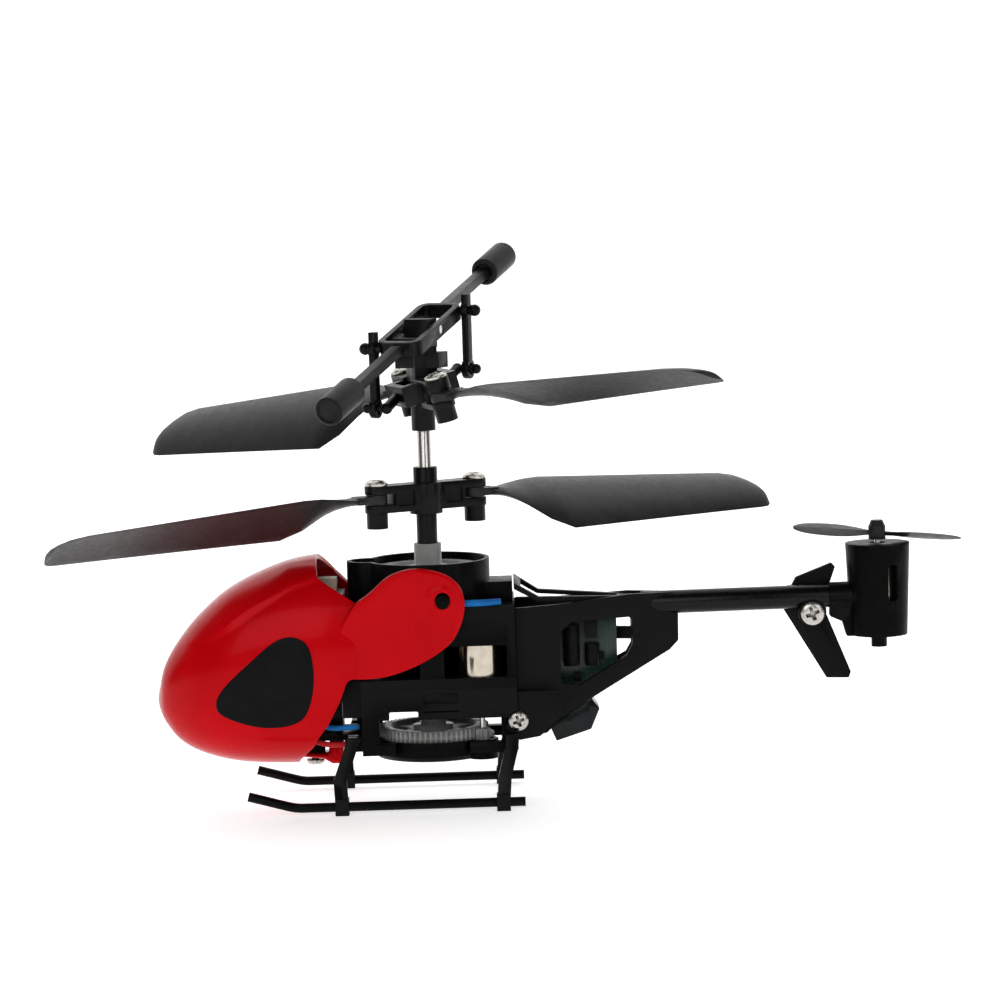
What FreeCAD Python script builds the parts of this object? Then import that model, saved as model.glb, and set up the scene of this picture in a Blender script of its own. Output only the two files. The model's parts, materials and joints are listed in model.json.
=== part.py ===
import FreeCAD, Part
import math
import os
from FreeCAD import Matrix, Placement, Rotation, Vector

# Palm-size coaxial remote control helicopter, millimetres.
# Working frame: +X towards the nose, +Y to port (left side), +Z up, the rotor shaft's axis at
# x = y = 0 and the ground at z = 0. Before export everything is moved so that the origin is the
# bottom centre of the whole model's box.

# ---- driving dimensions: drive train ----
MODULE = 0.25
GEAR_TEETH = 63
PINION_TEETH = 8
GEAR_DISTANCE = MODULE * (GEAR_TEETH + PINION_TEETH) / 2
FRONT_MOTOR_ANGLE = 0.0
REAR_MOTOR_ANGLE = 144.8
ADDENDUM = 0.2
DEDENDUM = 0.3
INNER_SHAFT_R = 1.0
OUTER_SHAFT_R = 1.5
RUNNING = 0.05
MOTOR_R = 3.1
MOTOR_Z = (18.0, 29.4)
MOTOR_SHAFT_R = 0.4
MOTOR_CAP_R = 1.6
SHAFT_HOLE_R = 0.8
BEARING_R = 2.6
UPPER_GEAR_Z = (32.7, 34.9)
LOWER_GEAR_Z = (9.1, 11.4)
COLLAR_R = 2.0
COLLAR_TOP = 38.2

# ---- driving dimensions: gear housing and chassis ----
CUP_R = 8.95
CUP_WALL = 0.6
CUP_LOBE_R = 3.05
CUP_Z = (29.6, 35.9)
CUP_FLOOR = 0.9
CHASSIS_X = (-12.4, 10.2)
CHASSIS_HALF_WIDTH = 8.5
CHASSIS_WALL = 0.9
CHASSIS_BOTTOM = 13.4
LEDGE_Z = (17.8, 19.3)
LEDGE_HALF_WIDTH = 8.9
PLATE_FRONT = (-12.4, 6.5)
PLATE_ANGLE = 14.6
PLATE_THICK = 0.8
PLATE_SCREW = (-12.5, 12.75)
PLATE_HEAD_R = 1.42
UNDER_SCREW = (-15.5, 10.3)
SCREW_R = 0.6
GUARD_R = 8.95
GUARD_Z = (7.1, 9.9)
GUARD_WALL = 0.65
GUARD_LOBE_R = 2.25
SOCKET = (-15.1, 19.0)
SOCKET_R = 1.25
PEG = (-2.08, 30.66)
PEG_R = 1.0

# ---- driving dimensions: landing gear ----
FOOT_Z = 0.35
SKID_Y = 11.3
LEG_TOP_Y = 9.15
SKID_Z = 1.5
SKID_R = 0.68
SKID_REAR = -13.15
SKID_BEND = 20.0
SKID_TIP = (26.8, 3.4)
LEG_WIDTH = 1.9

# ---- driving dimensions: tail ----
BOOM_R = 1.7
BOOM_START = (-31.0, 28.35)
BOOM_END = (-62.0, 28.6)
TAIL_X = -65.8
TAIL_R = (4.15, 4.7)
TAIL_Z = (22.7, 36.2)
TAIL_WALL = 0.8
TAIL_PROP_Z = 37.6
TAIL_PROP_R = 12.3
TAIL_PROP_SET = 5.5
FIN_SCREW = (-55.95, 1.75, 26.25)

# ---- driving dimensions: rotors ----
SCREW_RADIUS = 8.0
HUB_WIDTH = 3.5
LOWER_HUB_Z = (43.2, 47.15)
LOWER_SLOT_Z = (44.35, 45.95)
LOWER_AXIS = 28.0
LOWER_DROOP_FRONT = 4.3
LOWER_DROOP_REAR = 3.2
BLADE_LENGTH = 49.8
BLADE_TAB = 1.4
LOWER_FOLD_FRONT = -2.5
LOWER_FOLD_REAR = 2.5
BLADE_PITCH_ROOT = 31.0
BLADE_PITCH_TIP = 28.0
UPPER_HUB_Z = 60.95
UPPER_AXIS = 109.0
UPPER_TILT = 14.7
UPPER_FOLD_PORT = 26.5
UPPER_FOLD_STARBOARD = 33.0
UPPER_DROOP_PORT = 1.4
UPPER_SLOT = (-1.55, 0.05)
PIN_R = 0.6
FLYBAR_Z = 69.45
FLYBAR_AXIS = 66.5
FLYBAR_TILT = 16.8
FLYBAR_REACH = 33.0
FLYBAR_WEIGHT_R = 2.1
FLYBAR_WEIGHT_LENGTH = 8.4
FRAME_HALF = (8.5, 3.35)
FRAME_WALL = 0.9
FRAME_THICK = 2.1
FRAME_WEB = 4.2
STEM_ALONG = 7.98
LINK_ACROSS = 4.0
KNOB_ACROSS = 5.35
LINK_LENGTH = 8.6

UP = Vector(0, 0, 1)
PORT = Vector(0, 1, 0)


# ---- helpers ----
def box(x, y, z):
    size = Vector(x[1] - x[0], y[1] - y[0], z[1] - z[0])
    return Part.makeBox(size.x, size.y, size.z, Vector(x[0], y[0], z[0]))


def rod(radius, start, end):
    return Part.makeCylinder(radius, (end - start).Length, start, end - start)


def upright(radius, x, y, z):
    return rod(radius, Vector(x, y, z[0]), Vector(x, y, z[1]))


def fuse(*shapes):
    joined = shapes[0].multiFuse(list(shapes[1:])) if len(shapes) > 1 else shapes[0]
    return joined.removeSplitter()


def group(shapes):
    return Part.makeCompound([solid for shape in shapes for solid in shape.Solids])


def mirrored(shape):
    return shape.mirror(Vector(0, 0, 0), PORT)


def rounded_wire(points, radius):
    """Closed wire through the corner points, each corner rounded by the same radius."""
    count = len(points)
    corners = []
    for i, corner in enumerate(points):
        before = (points[i - 1] - corner).normalize()
        after = (points[(i + 1) % count] - corner).normalize()
        half = before.getAngle(after) / 2
        reach = radius / math.tan(half)
        middle = (before + after).normalize() * (radius / math.sin(half) - radius)
        corners.append((corner + before * reach, corner + middle, corner + after * reach))
    edges = []
    for i, (_, _, leave) in enumerate(corners):
        enter, middle, out = corners[(i + 1) % count]
        edges.append(Part.LineSegment(leave, enter).toShape())
        edges.append(Part.Arc(enter, middle, out).toShape())
    return Part.Wire(Part.__sortEdges__(edges))


def side_prism(outline, y, radius):
    """Plate cut to an x-z outline with rounded corners, between two y values."""
    wire = rounded_wire([Vector(x, y[0], z) for x, z in outline], radius)
    return Part.Face(wire).extrude(Vector(0, y[1] - y[0], 0))


def plan_prism(outline, z, radius):
    wire = rounded_wire([Vector(x, y, z[0]) for x, y in outline], radius)
    return Part.Face(wire).extrude(Vector(0, 0, z[1] - z[0]))


def curve_prism(outline, y):
    """Prism with a smooth closed curve through the x-z points as its section."""
    curve = Part.BSplineCurve()
    curve.interpolate([Vector(x, y[0], z) for x, z in outline], PeriodicFlag=True)
    return Part.Face(Part.Wire(curve.toShape())).extrude(Vector(0, y[1] - y[0], 0))


def tube_along(points, radii, tube_radius):
    """Round tube along straight runs joined by tangent arcs."""
    edges = []
    at = points[0]
    for before, corner, after, radius in zip(points, points[1:], points[2:], radii):
        back = (before - corner).normalize()
        ahead = (after - corner).normalize()
        half = back.getAngle(ahead) / 2
        reach = radius / math.tan(half)
        enter = corner + back * reach
        leave = corner + ahead * reach
        middle = corner + (back + ahead).normalize() * (radius / math.sin(half) - radius)
        edges.append(Part.LineSegment(at, enter).toShape())
        edges.append(Part.Arc(enter, middle, leave).toShape())
        at = leave
    edges.append(Part.LineSegment(at, points[-1]).toShape())
    start = points[1] - points[0]
    profile = Part.Wire(Part.Circle(points[0], start, tube_radius).toShape())
    return Part.Wire(edges).makePipeShell([profile], True, False)


def strap(points, size_x, size_y):
    """Bar with a rectangular level section, through the centre points."""
    wires = []
    for p in points:
        corners = [
            Vector(p.x + sx * size_x / 2, p.y + sy * size_y / 2, p.z)
            for sx, sy in ((-1, -1), (1, -1), (1, 1), (-1, 1), (-1, -1))
        ]
        wires.append(Part.makePolygon(corners))
    return Part.makeLoft(wires, True, True)


def placed(shape, origin, x_axis, z_axis):
    """Copy of a shape moved from its local frame to the frame given by two axes."""
    ex = Vector(x_axis).normalize()
    ez = Vector(z_axis).normalize()
    ey = ez.cross(ex)
    m = Matrix(
        ex.x, ey.x, ez.x, origin.x,
        ex.y, ey.y, ez.y, origin.y,
        ex.z, ey.z, ez.z, origin.z,
        0, 0, 0, 1,
    )
    moved = shape.copy()
    moved.Placement = Placement(m).multiply(shape.Placement)
    return moved


def heading(degrees, tilt_down=0.0):
    a = math.radians(degrees)
    t = math.radians(tilt_down)
    return Vector(math.cos(a) * math.cos(t), math.sin(a) * math.cos(t), -math.sin(t))


def screw(head_centre, direction, head_r, head_h, shank_r, shank_length):
    """Cross-recess screw: direction points from the head into the work."""
    into = Vector(direction).normalize()
    cap = Part.makeCone(head_r * 0.72, head_r, head_h * 0.45, head_centre - into * head_h, into)
    rim = rod(head_r, head_centre - into * head_h * 0.55, head_centre)
    shank = rod(shank_r, head_centre, head_centre + into * shank_length)
    side = into.cross(Vector(0.3, 0.5, 0.81)).normalize()
    other = into.cross(side)
    body = fuse(cap, rim, shank)
    slot_width = head_r * 0.3
    for along, across in ((side, other), (other, side)):
        bar = Part.makeBox(head_r * 1.2, slot_width, head_h * 0.9)
        bar.translate(Vector(-head_r * 0.6, -slot_width / 2, 0))
        body = body.cut(placed(bar, head_centre - into * (head_h * 1.05), along, into))
    return body


# ---- drive train ----
def spur_gear(teeth, z, first_tooth, centre=(0.0, 0.0)):
    """Straight-flanked teeth, thin enough to run with backlash."""
    pitch_r = MODULE * teeth / 2
    tip_r = pitch_r + ADDENDUM
    root_r = pitch_r - DEDENDUM
    tip_half = 0.085 / tip_r
    root_half = 0.2 / root_r
    points = []
    for i in range(teeth):
        a = first_tooth + 2 * math.pi * i / teeth
        for r, offset in ((root_r, -root_half), (tip_r, -tip_half), (tip_r, tip_half), (root_r, root_half)):
            x = centre[0] + r * math.cos(a + offset)
            y = centre[1] + r * math.sin(a + offset)
            points.append(Vector(x, y, z[0]))
    points.append(points[0])
    return Part.Face(Part.makePolygon(points)).extrude(Vector(0, 0, z[1] - z[0]))


def drive_gear(z, bore, mesh_angle):
    """Nylon wheel with a thin web; one tooth points along mesh_angle."""
    wheel = spur_gear(GEAR_TEETH, z, mesh_angle)
    pocket = upright(6.4, 0, 0, (z[1] - 0.7, z[1] + 1)).cut(upright(3.0, 0, 0, (z[1] - 1, z[1] + 2)))
    wheel = wheel.cut(pocket)
    for i in range(6):
        a = math.radians(60 * i)
        wheel = wheel.cut(upright(0.9, 4.7 * math.cos(a), 4.7 * math.sin(a), (z[0] - 1, z[1] + 1)))
    return wheel.cut(upright(bore, 0, 0, (z[0] - 1, z[1] + 1)))


def motor_place(angle):
    return heading(angle) * GEAR_DISTANCE


def pinion(angle, z):
    """Pinion at the drive gear's rim, with a gap facing the drive gear."""
    at = motor_place(angle)
    inward = math.radians(angle) + math.pi
    toothed = spur_gear(PINION_TEETH, z, inward + math.pi / PINION_TEETH, (at.x, at.y))
    return toothed.cut(upright(MOTOR_SHAFT_R, at.x, at.y, (z[0] - 1, z[1] + 1)))


def upper_drive_gear():
    wheel = drive_gear(UPPER_GEAR_Z, OUTER_SHAFT_R, math.radians(FRONT_MOTOR_ANGLE))
    collar = upright(COLLAR_R, 0, 0, (UPPER_GEAR_Z[0] - 0.4, COLLAR_TOP))
    bore = upright(OUTER_SHAFT_R, 0, 0, (UPPER_GEAR_Z[0] - 1, COLLAR_TOP + 1))
    return fuse(wheel, collar).cut(bore)


def lower_drive_gear():
    wheel = drive_gear(LOWER_GEAR_Z, INNER_SHAFT_R, math.radians(REAR_MOTOR_ANGLE))
    hub = upright(1.9, 0, 0, (LOWER_GEAR_Z[0], LOWER_GEAR_Z[1] + 1.0))
    return fuse(wheel, hub).cut(upright(INNER_SHAFT_R, 0, 0, (LOWER_GEAR_Z[0] - 1, LOWER_GEAR_Z[1] + 2)))


def outer_shaft():
    z = (CUP_Z[0] + 0.1, LOWER_HUB_Z[1] - 0.15)
    return upright(OUTER_SHAFT_R, 0, 0, z).cut(upright(INNER_SHAFT_R + RUNNING, 0, 0, (0, 99)))


def inner_shaft():
    return upright(INNER_SHAFT_R, 0, 0, (GUARD_Z[0] + 0.9, UPPER_HUB_Z - 1.3))


def motor(angle):
    """Coreless motor can with a stepped end cap and a round vent mark."""
    low, high = MOTOR_Z
    x, y = motor_place(angle).x, motor_place(angle).y
    can = upright(MOTOR_R, x, y, (low, high))
    can = can.makeFillet(0.35, [edge for edge in can.Edges if edge.Length > 2 * MOTOR_R * 3])
    cap = upright(MOTOR_CAP_R, x, y, (low - 0.4, low))
    vent = rod(0.32, Vector(x + 1.25, y + 1.5, low + 4.1), Vector(x + 1.25, y + 5, low + 4.1))
    body = fuse(can, cap).cut(vent)
    return body.cut(upright(MOTOR_SHAFT_R + RUNNING, x, y, (low - 3, high + 3)))


def motor_shaft(angle, z):
    return upright(MOTOR_SHAFT_R, motor_place(angle).x, motor_place(angle).y, z)


def bearing(z, bore):
    return upright(BEARING_R, 0, 0, z).cut(upright(bore, 0, 0, (z[0] - 1, z[1] + 1)))


# ---- gear housing and chassis ----
def cup_outline(radius, lobe, z):
    x = GEAR_DISTANCE
    bridge = box((x - 4.5, x), (-lobe, lobe), z)
    return fuse(upright(radius, 0, 0, z), upright(lobe, x, 0, z), bridge)


def gear_housing():
    """Open-topped cup around the upper gear, with a lobe for the front pinion and canopy pegs."""
    outer = cup_outline(CUP_R, CUP_LOBE_R, CUP_Z)
    inner_z = (CUP_Z[0] + CUP_FLOOR, CUP_Z[1] + 1)
    inner = cup_outline(CUP_R - CUP_WALL, CUP_LOBE_R - CUP_WALL, inner_z)
    step = box((-12.2, -7.6), (-3.6, 3.6), (CUP_Z[0], 32.6))
    step = step.cut(upright(CUP_R - 0.3, 0, 0, (CUP_Z[0] + CUP_FLOOR, CUP_Z[1])))
    body = fuse(outer.cut(inner), step)
    for side in (1, -1):
        peg = rod(PEG_R, Vector(PEG[0], side * 8.6, PEG[1]), Vector(PEG[0], side * 10.75, PEG[1]))
        body = fuse(body, peg)
    body = body.cut(inner)
    body = body.cut(upright(BEARING_R, 0, 0, (CUP_Z[0] - 1, inner_z[0] + 1)))
    return body.cut(upright(SHAFT_HOLE_R, GEAR_DISTANCE, 0, (CUP_Z[0] - 1, inner_z[0] + 1)))


def chassis_side(open_wall):
    """Port wall of the chassis; an open wall has the two windows that show the motors."""
    y = (CHASSIS_HALF_WIDTH - CHASSIS_WALL, CHASSIS_HALF_WIDTH)
    wall = side_prism(
        [
            (CHASSIS_X[0], CHASSIS_BOTTOM), (2.0, CHASSIS_BOTTOM), (2.0, 14.6), (6.2, 14.6),
            (6.2, CHASSIS_BOTTOM), (CHASSIS_X[1], CHASSIS_BOTTOM), (CHASSIS_X[1], CUP_Z[0]),
            (CHASSIS_X[0], CUP_Z[0]),
        ],
        y, 0.25,
    )
    if open_wall:
        through = (y[0] - 1, y[1] + 1)
        for x, top in (((-11.1, -2.0), 23.9), ((1.5, 8.9), 27.0)):
            corners = [(x[0], LEDGE_Z[1]), (x[1], LEDGE_Z[1]), (x[1], top), (x[0], top)]
            wall = wall.cut(side_prism(corners, through, 0.4))
    x, z = PLATE_SCREW
    wall = wall.cut(rod(PLATE_HEAD_R + 0.1, Vector(x, 0, z), Vector(x, 9, z)))
    wall = wall.cut(box((-12.6, -10.8), (y[1] - 0.45, y[1] + 1), (24.6, 27.2)))
    wall = wall.cut(box((-3.9, 1.2), (y[1] - 0.5, y[1] + 1), (14.4, 17.2)))
    return wall


def chassis():
    """Moulded chassis: two side walls joined by a top plate, a ledge and a bottom plate."""
    wide = (-CHASSIS_HALF_WIDTH, CHASSIS_HALF_WIDTH)
    top = box(CHASSIS_X, wide, (CUP_Z[0] - 1.2, CUP_Z[0]))
    ledge = box((CHASSIS_X[0], CHASSIS_X[1]), (-LEDGE_HALF_WIDTH, LEDGE_HALF_WIDTH), LEDGE_Z)
    bottom = box(CHASSIS_X, wide, (CHASSIS_BOTTOM + 1.2, CHASSIS_BOTTOM + 2.3))
    nose = box((CHASSIS_X[1] - 0.1, 13.6), (-3.7, 3.7), (CUP_Z[0] - 1.2, CUP_Z[0]))
    riser = box((12.5, 13.6), (-3.7, 3.7), (CUP_Z[0] - 1.2, 31.4))
    shelf = box((12.5, 17.5), (-3.7, 3.7), (30.6, 31.4))
    rear = box((CHASSIS_X[0], CHASSIS_X[0] + 0.9), wide, (CHASSIS_BOTTOM + 1.2, CUP_Z[0]))
    cheek = box((CHASSIS_X[1] - 0.3, 12.9), (CHASSIS_HALF_WIDTH - 1.5, CHASSIS_HALF_WIDTH - 0.3), (13.9, LEDGE_Z[1]))
    body = fuse(cheek, mirrored(cheek), chassis_side(True), mirrored(chassis_side(False)), top, ledge, bottom, nose, riser, shelf, rear)
    for angle in (FRONT_MOTOR_ANGLE, REAR_MOTOR_ANGLE):
        at = motor_place(angle)
        body = body.cut(upright(MOTOR_R, at.x, at.y, MOTOR_Z))
        body = body.cut(upright(MOTOR_CAP_R + 0.1, at.x, at.y, (LEDGE_Z[0] - 1, LEDGE_Z[1])))
    front = motor_place(FRONT_MOTOR_ANGLE)
    rear_shaft = motor_place(REAR_MOTOR_ANGLE)
    body = body.cut(upright(SHAFT_HOLE_R, front.x, front.y, (MOTOR_Z[1] - 1, CUP_Z[0] + 1)))
    body = body.cut(upright(SHAFT_HOLE_R, rear_shaft.x, rear_shaft.y, (CHASSIS_BOTTOM, LEDGE_Z[0])))
    body = body.cut(upright(BEARING_R, 0, 0, (CHASSIS_BOTTOM, LEDGE_Z[0] - 1)))
    return body.cut(upright(BEARING_R + 0.1, 0, 0, (LEDGE_Z[0] - 1, CUP_Z[1])))


def guard():
    """Dish under the lower gear with its front and rear hangers and the shaft's thrust cup."""
    rear = motor_place(REAR_MOTOR_ANGLE)
    bowl = upright(GUARD_R, 0, 0, GUARD_Z)
    bowl = bowl.makeChamfer(0.7, [edge for edge in bowl.Edges if edge.BoundBox.ZMax < GUARD_Z[0] + 0.1])
    outer = fuse(bowl, upright(GUARD_LOBE_R, rear.x, rear.y, GUARD_Z))
    inner_z = (GUARD_Z[0] + 0.8, CHASSIS_BOTTOM + 1.2)
    room = fuse(upright(GUARD_R - GUARD_WALL, 0, 0, inner_z),
                upright(GUARD_LOBE_R - GUARD_WALL, rear.x, rear.y, inner_z))
    dish = outer.cut(room)
    for i in range(4):
        a = math.radians(45 + 90 * i)
        dish = dish.cut(upright(2.3, 5.3 * math.cos(a), 5.3 * math.sin(a), (0, GUARD_Z[0] + 2)))
    cup = upright(2.0, 0, 0, (GUARD_Z[0], GUARD_Z[0] + 1.7))
    cup = cup.cut(upright(INNER_SHAFT_R + RUNNING, 0, 0, (GUARD_Z[0] + 0.85, 20)))
    body = fuse(dish.cut(upright(1.5, 0, 0, (GUARD_Z[0] + 0.6, 20))), cup)
    outside = CHASSIS_HALF_WIDTH
    front = [
        box((7.7, 10.2), (6.6, outside), (8.3, CHASSIS_BOTTOM)),
        box((5.4, 8.6), (6.6, outside), (8.3, GUARD_Z[1])),
        box((10.0, 12.3), (6.6, outside), (9.0, 11.2)),
    ]
    back = [
        box((-12.4, -10.0), (5.4, 7.15), (8.6, CHASSIS_BOTTOM + 1.2)),
        box((-12.4, -10.0), (5.4, outside), (8.6, 9.8)),
        box((-10.2, -5.4), (6.6, outside), (8.3, 9.8)),
    ]
    x, z = PLATE_SCREW
    hangers = fuse(*front, *back).cut(room).cut(rod(SCREW_R, Vector(x, 0, z), Vector(x, 9, z)))
    return fuse(body, hangers, mirrored(hangers).cut(room))


def splay(shape):
    """Turn a port plate built round y = 0 so that it runs in towards the boom."""
    moved = shape.copy()
    moved.rotate(Vector(PLATE_FRONT[0], 0, 0), UP, PLATE_ANGLE)
    moved.translate(Vector(0, PLATE_FRONT[1], 0))
    return moved


def stretched(outline):
    """Lengthen an outline so that it keeps its x values once the plate is splayed."""
    stretch = 1 / math.cos(math.radians(PLATE_ANGLE))
    return [(PLATE_FRONT[0] + (x - PLATE_FRONT[0]) * stretch, z) for x, z in outline]


def boom_room(radius):
    start = Vector(BOOM_START[0], 0, BOOM_START[1])
    return rod(radius, start, Vector(BOOM_END[0], 0, BOOM_END[1]))


def rear_plate():
    """Port rear side plate: its long window, the screw lug and the notch that grips the boom."""
    half = PLATE_THICK / 2
    outline = [(-12.4, 29.0), (-12.4, 15.6), (-18.6, 12.5), (-24.4, 15.8), (-34.9, 21.5), (-36.2, 22.8),
               (-36.3, 29.9), (-29.0, 30.0), (-19.0, 29.15)]
    window = [(-18.8, 17.6), (-21.5, 17.1), (-28.7, 21.1), (-29.5, 22.5), (-29.5, 26.7), (-20.5, 26.5),
              (-18.8, 25.0)]
    plate = side_prism(stretched(outline), (-half, half), 0.4)
    plate = splay(plate.cut(side_prism(stretched(window), (-half - 1, half + 1), 0.7)))
    lug = side_prism([(-12.4, 17.0), (-12.4, 14.0), (-11.3, 14.0), (-10.7, 11.6), (-12.6, 9.9), (-15.6, 10.4),
                      (-18.9, 13.4), (-18.6, 17.0)], (7.2, 8.0), 0.3)
    lug = lug.cut(box((CHASSIS_X[0], 0), (0, 9), (CHASSIS_BOTTOM - 0.05, 20)))
    web = box((-18.6, CHASSIS_X[0]), (4.7, 7.6), (13.6, 15.2))
    body = fuse(plate, lug, web)
    body = body.cut(box((-40, -12), (-9, 0.03), (0, 40)))
    body = body.cut(box((CHASSIS_X[0], 0), (0, 9), (CHASSIS_BOTTOM - 0.05, 40)))
    x, z = PLATE_SCREW
    body = body.cut(rod(SCREW_R, Vector(x, 0, z), Vector(x, 9, z)))
    return body.cut(boom_room(BOOM_R))


def window_rib():
    """Short rib across the rear end of the starboard plate's window."""
    half = PLATE_THICK / 2
    rib = side_prism(stretched([(-30.0, 22.9), (-25.6, 22.9), (-25.6, 24.7), (-30.0, 24.7)]), (-half, half), 0.2)
    return mirrored(splay(rib))


def between_plates(inset):
    """Upright wedge of space between the two splayed rear plates."""
    slope = math.tan(math.radians(PLATE_ANGLE))
    inner = PLATE_THICK / 2 / math.cos(math.radians(PLATE_ANGLE)) + inset
    wide = PLATE_FRONT[1] - inner
    narrow = 0.05
    rear_x = PLATE_FRONT[0] - (wide - narrow) / slope
    corners = [(PLATE_FRONT[0], -wide), (PLATE_FRONT[0], wide), (rear_x, narrow), (rear_x, -narrow)]
    face = Part.Face(Part.makePolygon([Vector(x, y, 0) for x, y in corners + corners[:1]]))
    return face.extrude(Vector(0, 0, 60))


def plate_bridge():
    """Cross blocks that tie the rear plates together under the board and round the boom."""
    x, z = UNDER_SCREW
    low = side_prism([(-12.4, z), (-16.6, z), (-18.6, 12.2), (-18.6, 15.0), (-12.4, 15.0)], (-4.7, 4.7), 0.3)
    low = low.common(between_plates(0.0)).cut(upright(0.55, x, 0, (0, 20)))
    block = box((-34.4, -30.3), (-5, 5), (25.4, 29.3)).common(between_plates(0.0))
    return group([low, block.cut(boom_room(BOOM_R))])


def top_deck():
    """Slim open deck over the rear plates, sloping up to the gear housing's step."""
    profile = [(-12.25, 32.5), (-12.25, 31.8), (-15.8, 29.75), (-30.2, 29.03), (-30.2, 29.63), (-16.0, 30.35),
               (-12.6, 32.5)]
    solid = side_prism(profile, (-8, 8), 0.12)
    outer = between_plates(0.0)
    opening = between_plates(1.1).common(box((-27.5, -13.4), (-9, 9), (0, 60)))
    return solid.common(outer).cut(opening)


# ---- landing gear ----
def leg(points):
    """Flat leg from the guard's hanger down to a clip around the skid tube."""
    foot = points[-1]
    bar = strap(points, LEG_WIDTH, 1.3)
    clip = box((foot.x - 1.0, foot.x + 1.0), (SKID_Y - 1.15, SKID_Y + 1.15), (FOOT_Z, 2.75))
    body = fuse(bar, clip)
    return body.cut(rod(SKID_R, Vector(-40, SKID_Y, SKID_Z), Vector(40, SKID_Y, SKID_Z)))


def front_leg():
    return leg([Vector(11.3, LEG_TOP_Y, 11.2), Vector(12.0, LEG_TOP_Y, 9.3), Vector(13.5, SKID_Y, 5.4),
                Vector(13.3, SKID_Y, 1.2)])


def rear_leg():
    return leg([Vector(-11.6, LEG_TOP_Y, 11.0), Vector(-11.4, LEG_TOP_Y, 9.0), Vector(-10.3, SKID_Y, 5.2),
                Vector(-10.0, SKID_Y, 1.2)])


def skid():
    route = [Vector(SKID_REAR, SKID_Y, SKID_Z), Vector(SKID_BEND, SKID_Y, SKID_Z),
             Vector(SKID_TIP[0], SKID_Y, SKID_TIP[1])]
    return tube_along(route, [8.0], SKID_R)


# ---- tail ----
def tail_boom():
    return boom_room(BOOM_R).cut(boom_room(BOOM_R - 0.6))


def tail_motor_housing():
    low, high = TAIL_Z
    shell = Part.makeCone(TAIL_R[0], TAIL_R[1], high - low, Vector(TAIL_X, 0, low), UP)
    sleeve = rod(2.0, Vector(TAIL_X, 0, 28.65), Vector(-58.6, 0, 28.52))
    web = side_prism([(-65.0, 22.6), (-61.0, 22.6), (-60.4, 24.8), (-58.6, 25.6), (-58.6, 28.6), (-65.0, 28.6)],
                     (-0.9, 0.9), 0.3)
    pin = upright(1.15, TAIL_X, 0, (20.9, low + 0.2))
    body = fuse(shell, sleeve, web, pin)
    body = body.cut(upright(MOTOR_R, TAIL_X, 0, (low + 0.9, high - TAIL_WALL)))
    body = body.cut(upright(1.2, TAIL_X, 0, (low + 5, high + 2)))
    body = body.cut(boom_room(BOOM_R))
    slot_x = -67.6
    slot = fuse(box((slot_x - 0.7, slot_x + 0.7), (2.0, 6.0), (28.6, 32.6)),
                rod(0.7, Vector(slot_x, 2, 28.6), Vector(slot_x, 6, 28.6)),
                rod(0.7, Vector(slot_x, 2, 32.6), Vector(slot_x, 6, 32.6)))
    return body.cut(slot)


def tail_motor():
    low, high = TAIL_Z[0] + 0.9, TAIL_Z[1] - TAIL_WALL
    can = upright(MOTOR_R, TAIL_X, 0, (low, high))
    return can.cut(upright(MOTOR_SHAFT_R + RUNNING, TAIL_X, 0, (low + 2, high + 1)))


def tail_fin():
    """One-piece fin with an upper and a lower blade and the boss that clamps it to the boom."""
    y = (-2.6, -1.65)
    upper = side_prism([(-52.7, 29.0), (-53.9, 31.2), (-59.2, 33.2), (-59.7, 32.6), (-58.4, 29.0)], y, 0.25)
    lower = side_prism([(-51.9, 26.7), (-58.1, 16.2), (-61.4, 16.1), (-61.7, 17.0), (-58.3, 25.6),
                        (-58.2, 30.0), (-52.6, 30.0)], y, 0.3)
    x, head_y, z = FIN_SCREW
    boss = rod(2.0, Vector(x, y[0], z), Vector(x, head_y, z))
    body = fuse(upper, lower, boss)
    body = body.cut(rod(BOOM_R + 0.02, Vector(-50, 0, 28.37), Vector(-60, 0, 28.56)))
    return body.cut(rod(SCREW_R, Vector(x, -9, z), Vector(x, 9, z)))


def tail_blade(length, pitch):
    """Half of the tail propeller in its own frame, along +X from the hub."""
    stations = [(0.6, 1.5, 0.8), (2.6, 3.0, 0.6), (6.0, 4.6, 0.5), (9.5, 4.2, 0.4), (length - 0.7, 2.6, 0.35),
                (length, 1.1, 0.3)]
    wires = []
    for x, chord, thick in stations:
        t = math.radians(pitch)
        corners = []
        for cy, cz in ((-chord / 2, 0), (0, thick / 2), (chord / 2, 0), (0, -thick / 2)):
            y = cy * math.cos(t) - cz * math.sin(t)
            z = cy * math.sin(t) + cz * math.cos(t)
            corners.append(Vector(x, y, z))
        wires.append(Part.makePolygon(corners + corners[:1]))
    return Part.makeLoft(wires, True, False)


def tail_rotor():
    hub = upright(1.25, 0, 0, (-0.9, 1.1))
    tip = Part.makeCone(1.2, 0.85, 0.8, Vector(0, 0, 1.1), UP)
    blade = tail_blade(TAIL_PROP_R, -17.0)
    blade.rotate(Vector(0, 0, 0), PORT, -TAIL_PROP_SET)
    other = blade.copy()
    other.rotate(Vector(0, 0, 0), PORT, 2 * TAIL_PROP_SET)
    other.rotate(Vector(0, 0, 0), UP, 180)
    body = fuse(hub, tip, blade, other)
    body = body.cut(upright(MOTOR_SHAFT_R, 0, 0, (-2, 0.9)))
    body.translate(Vector(TAIL_X, 0, TAIL_PROP_Z))
    return body


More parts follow.
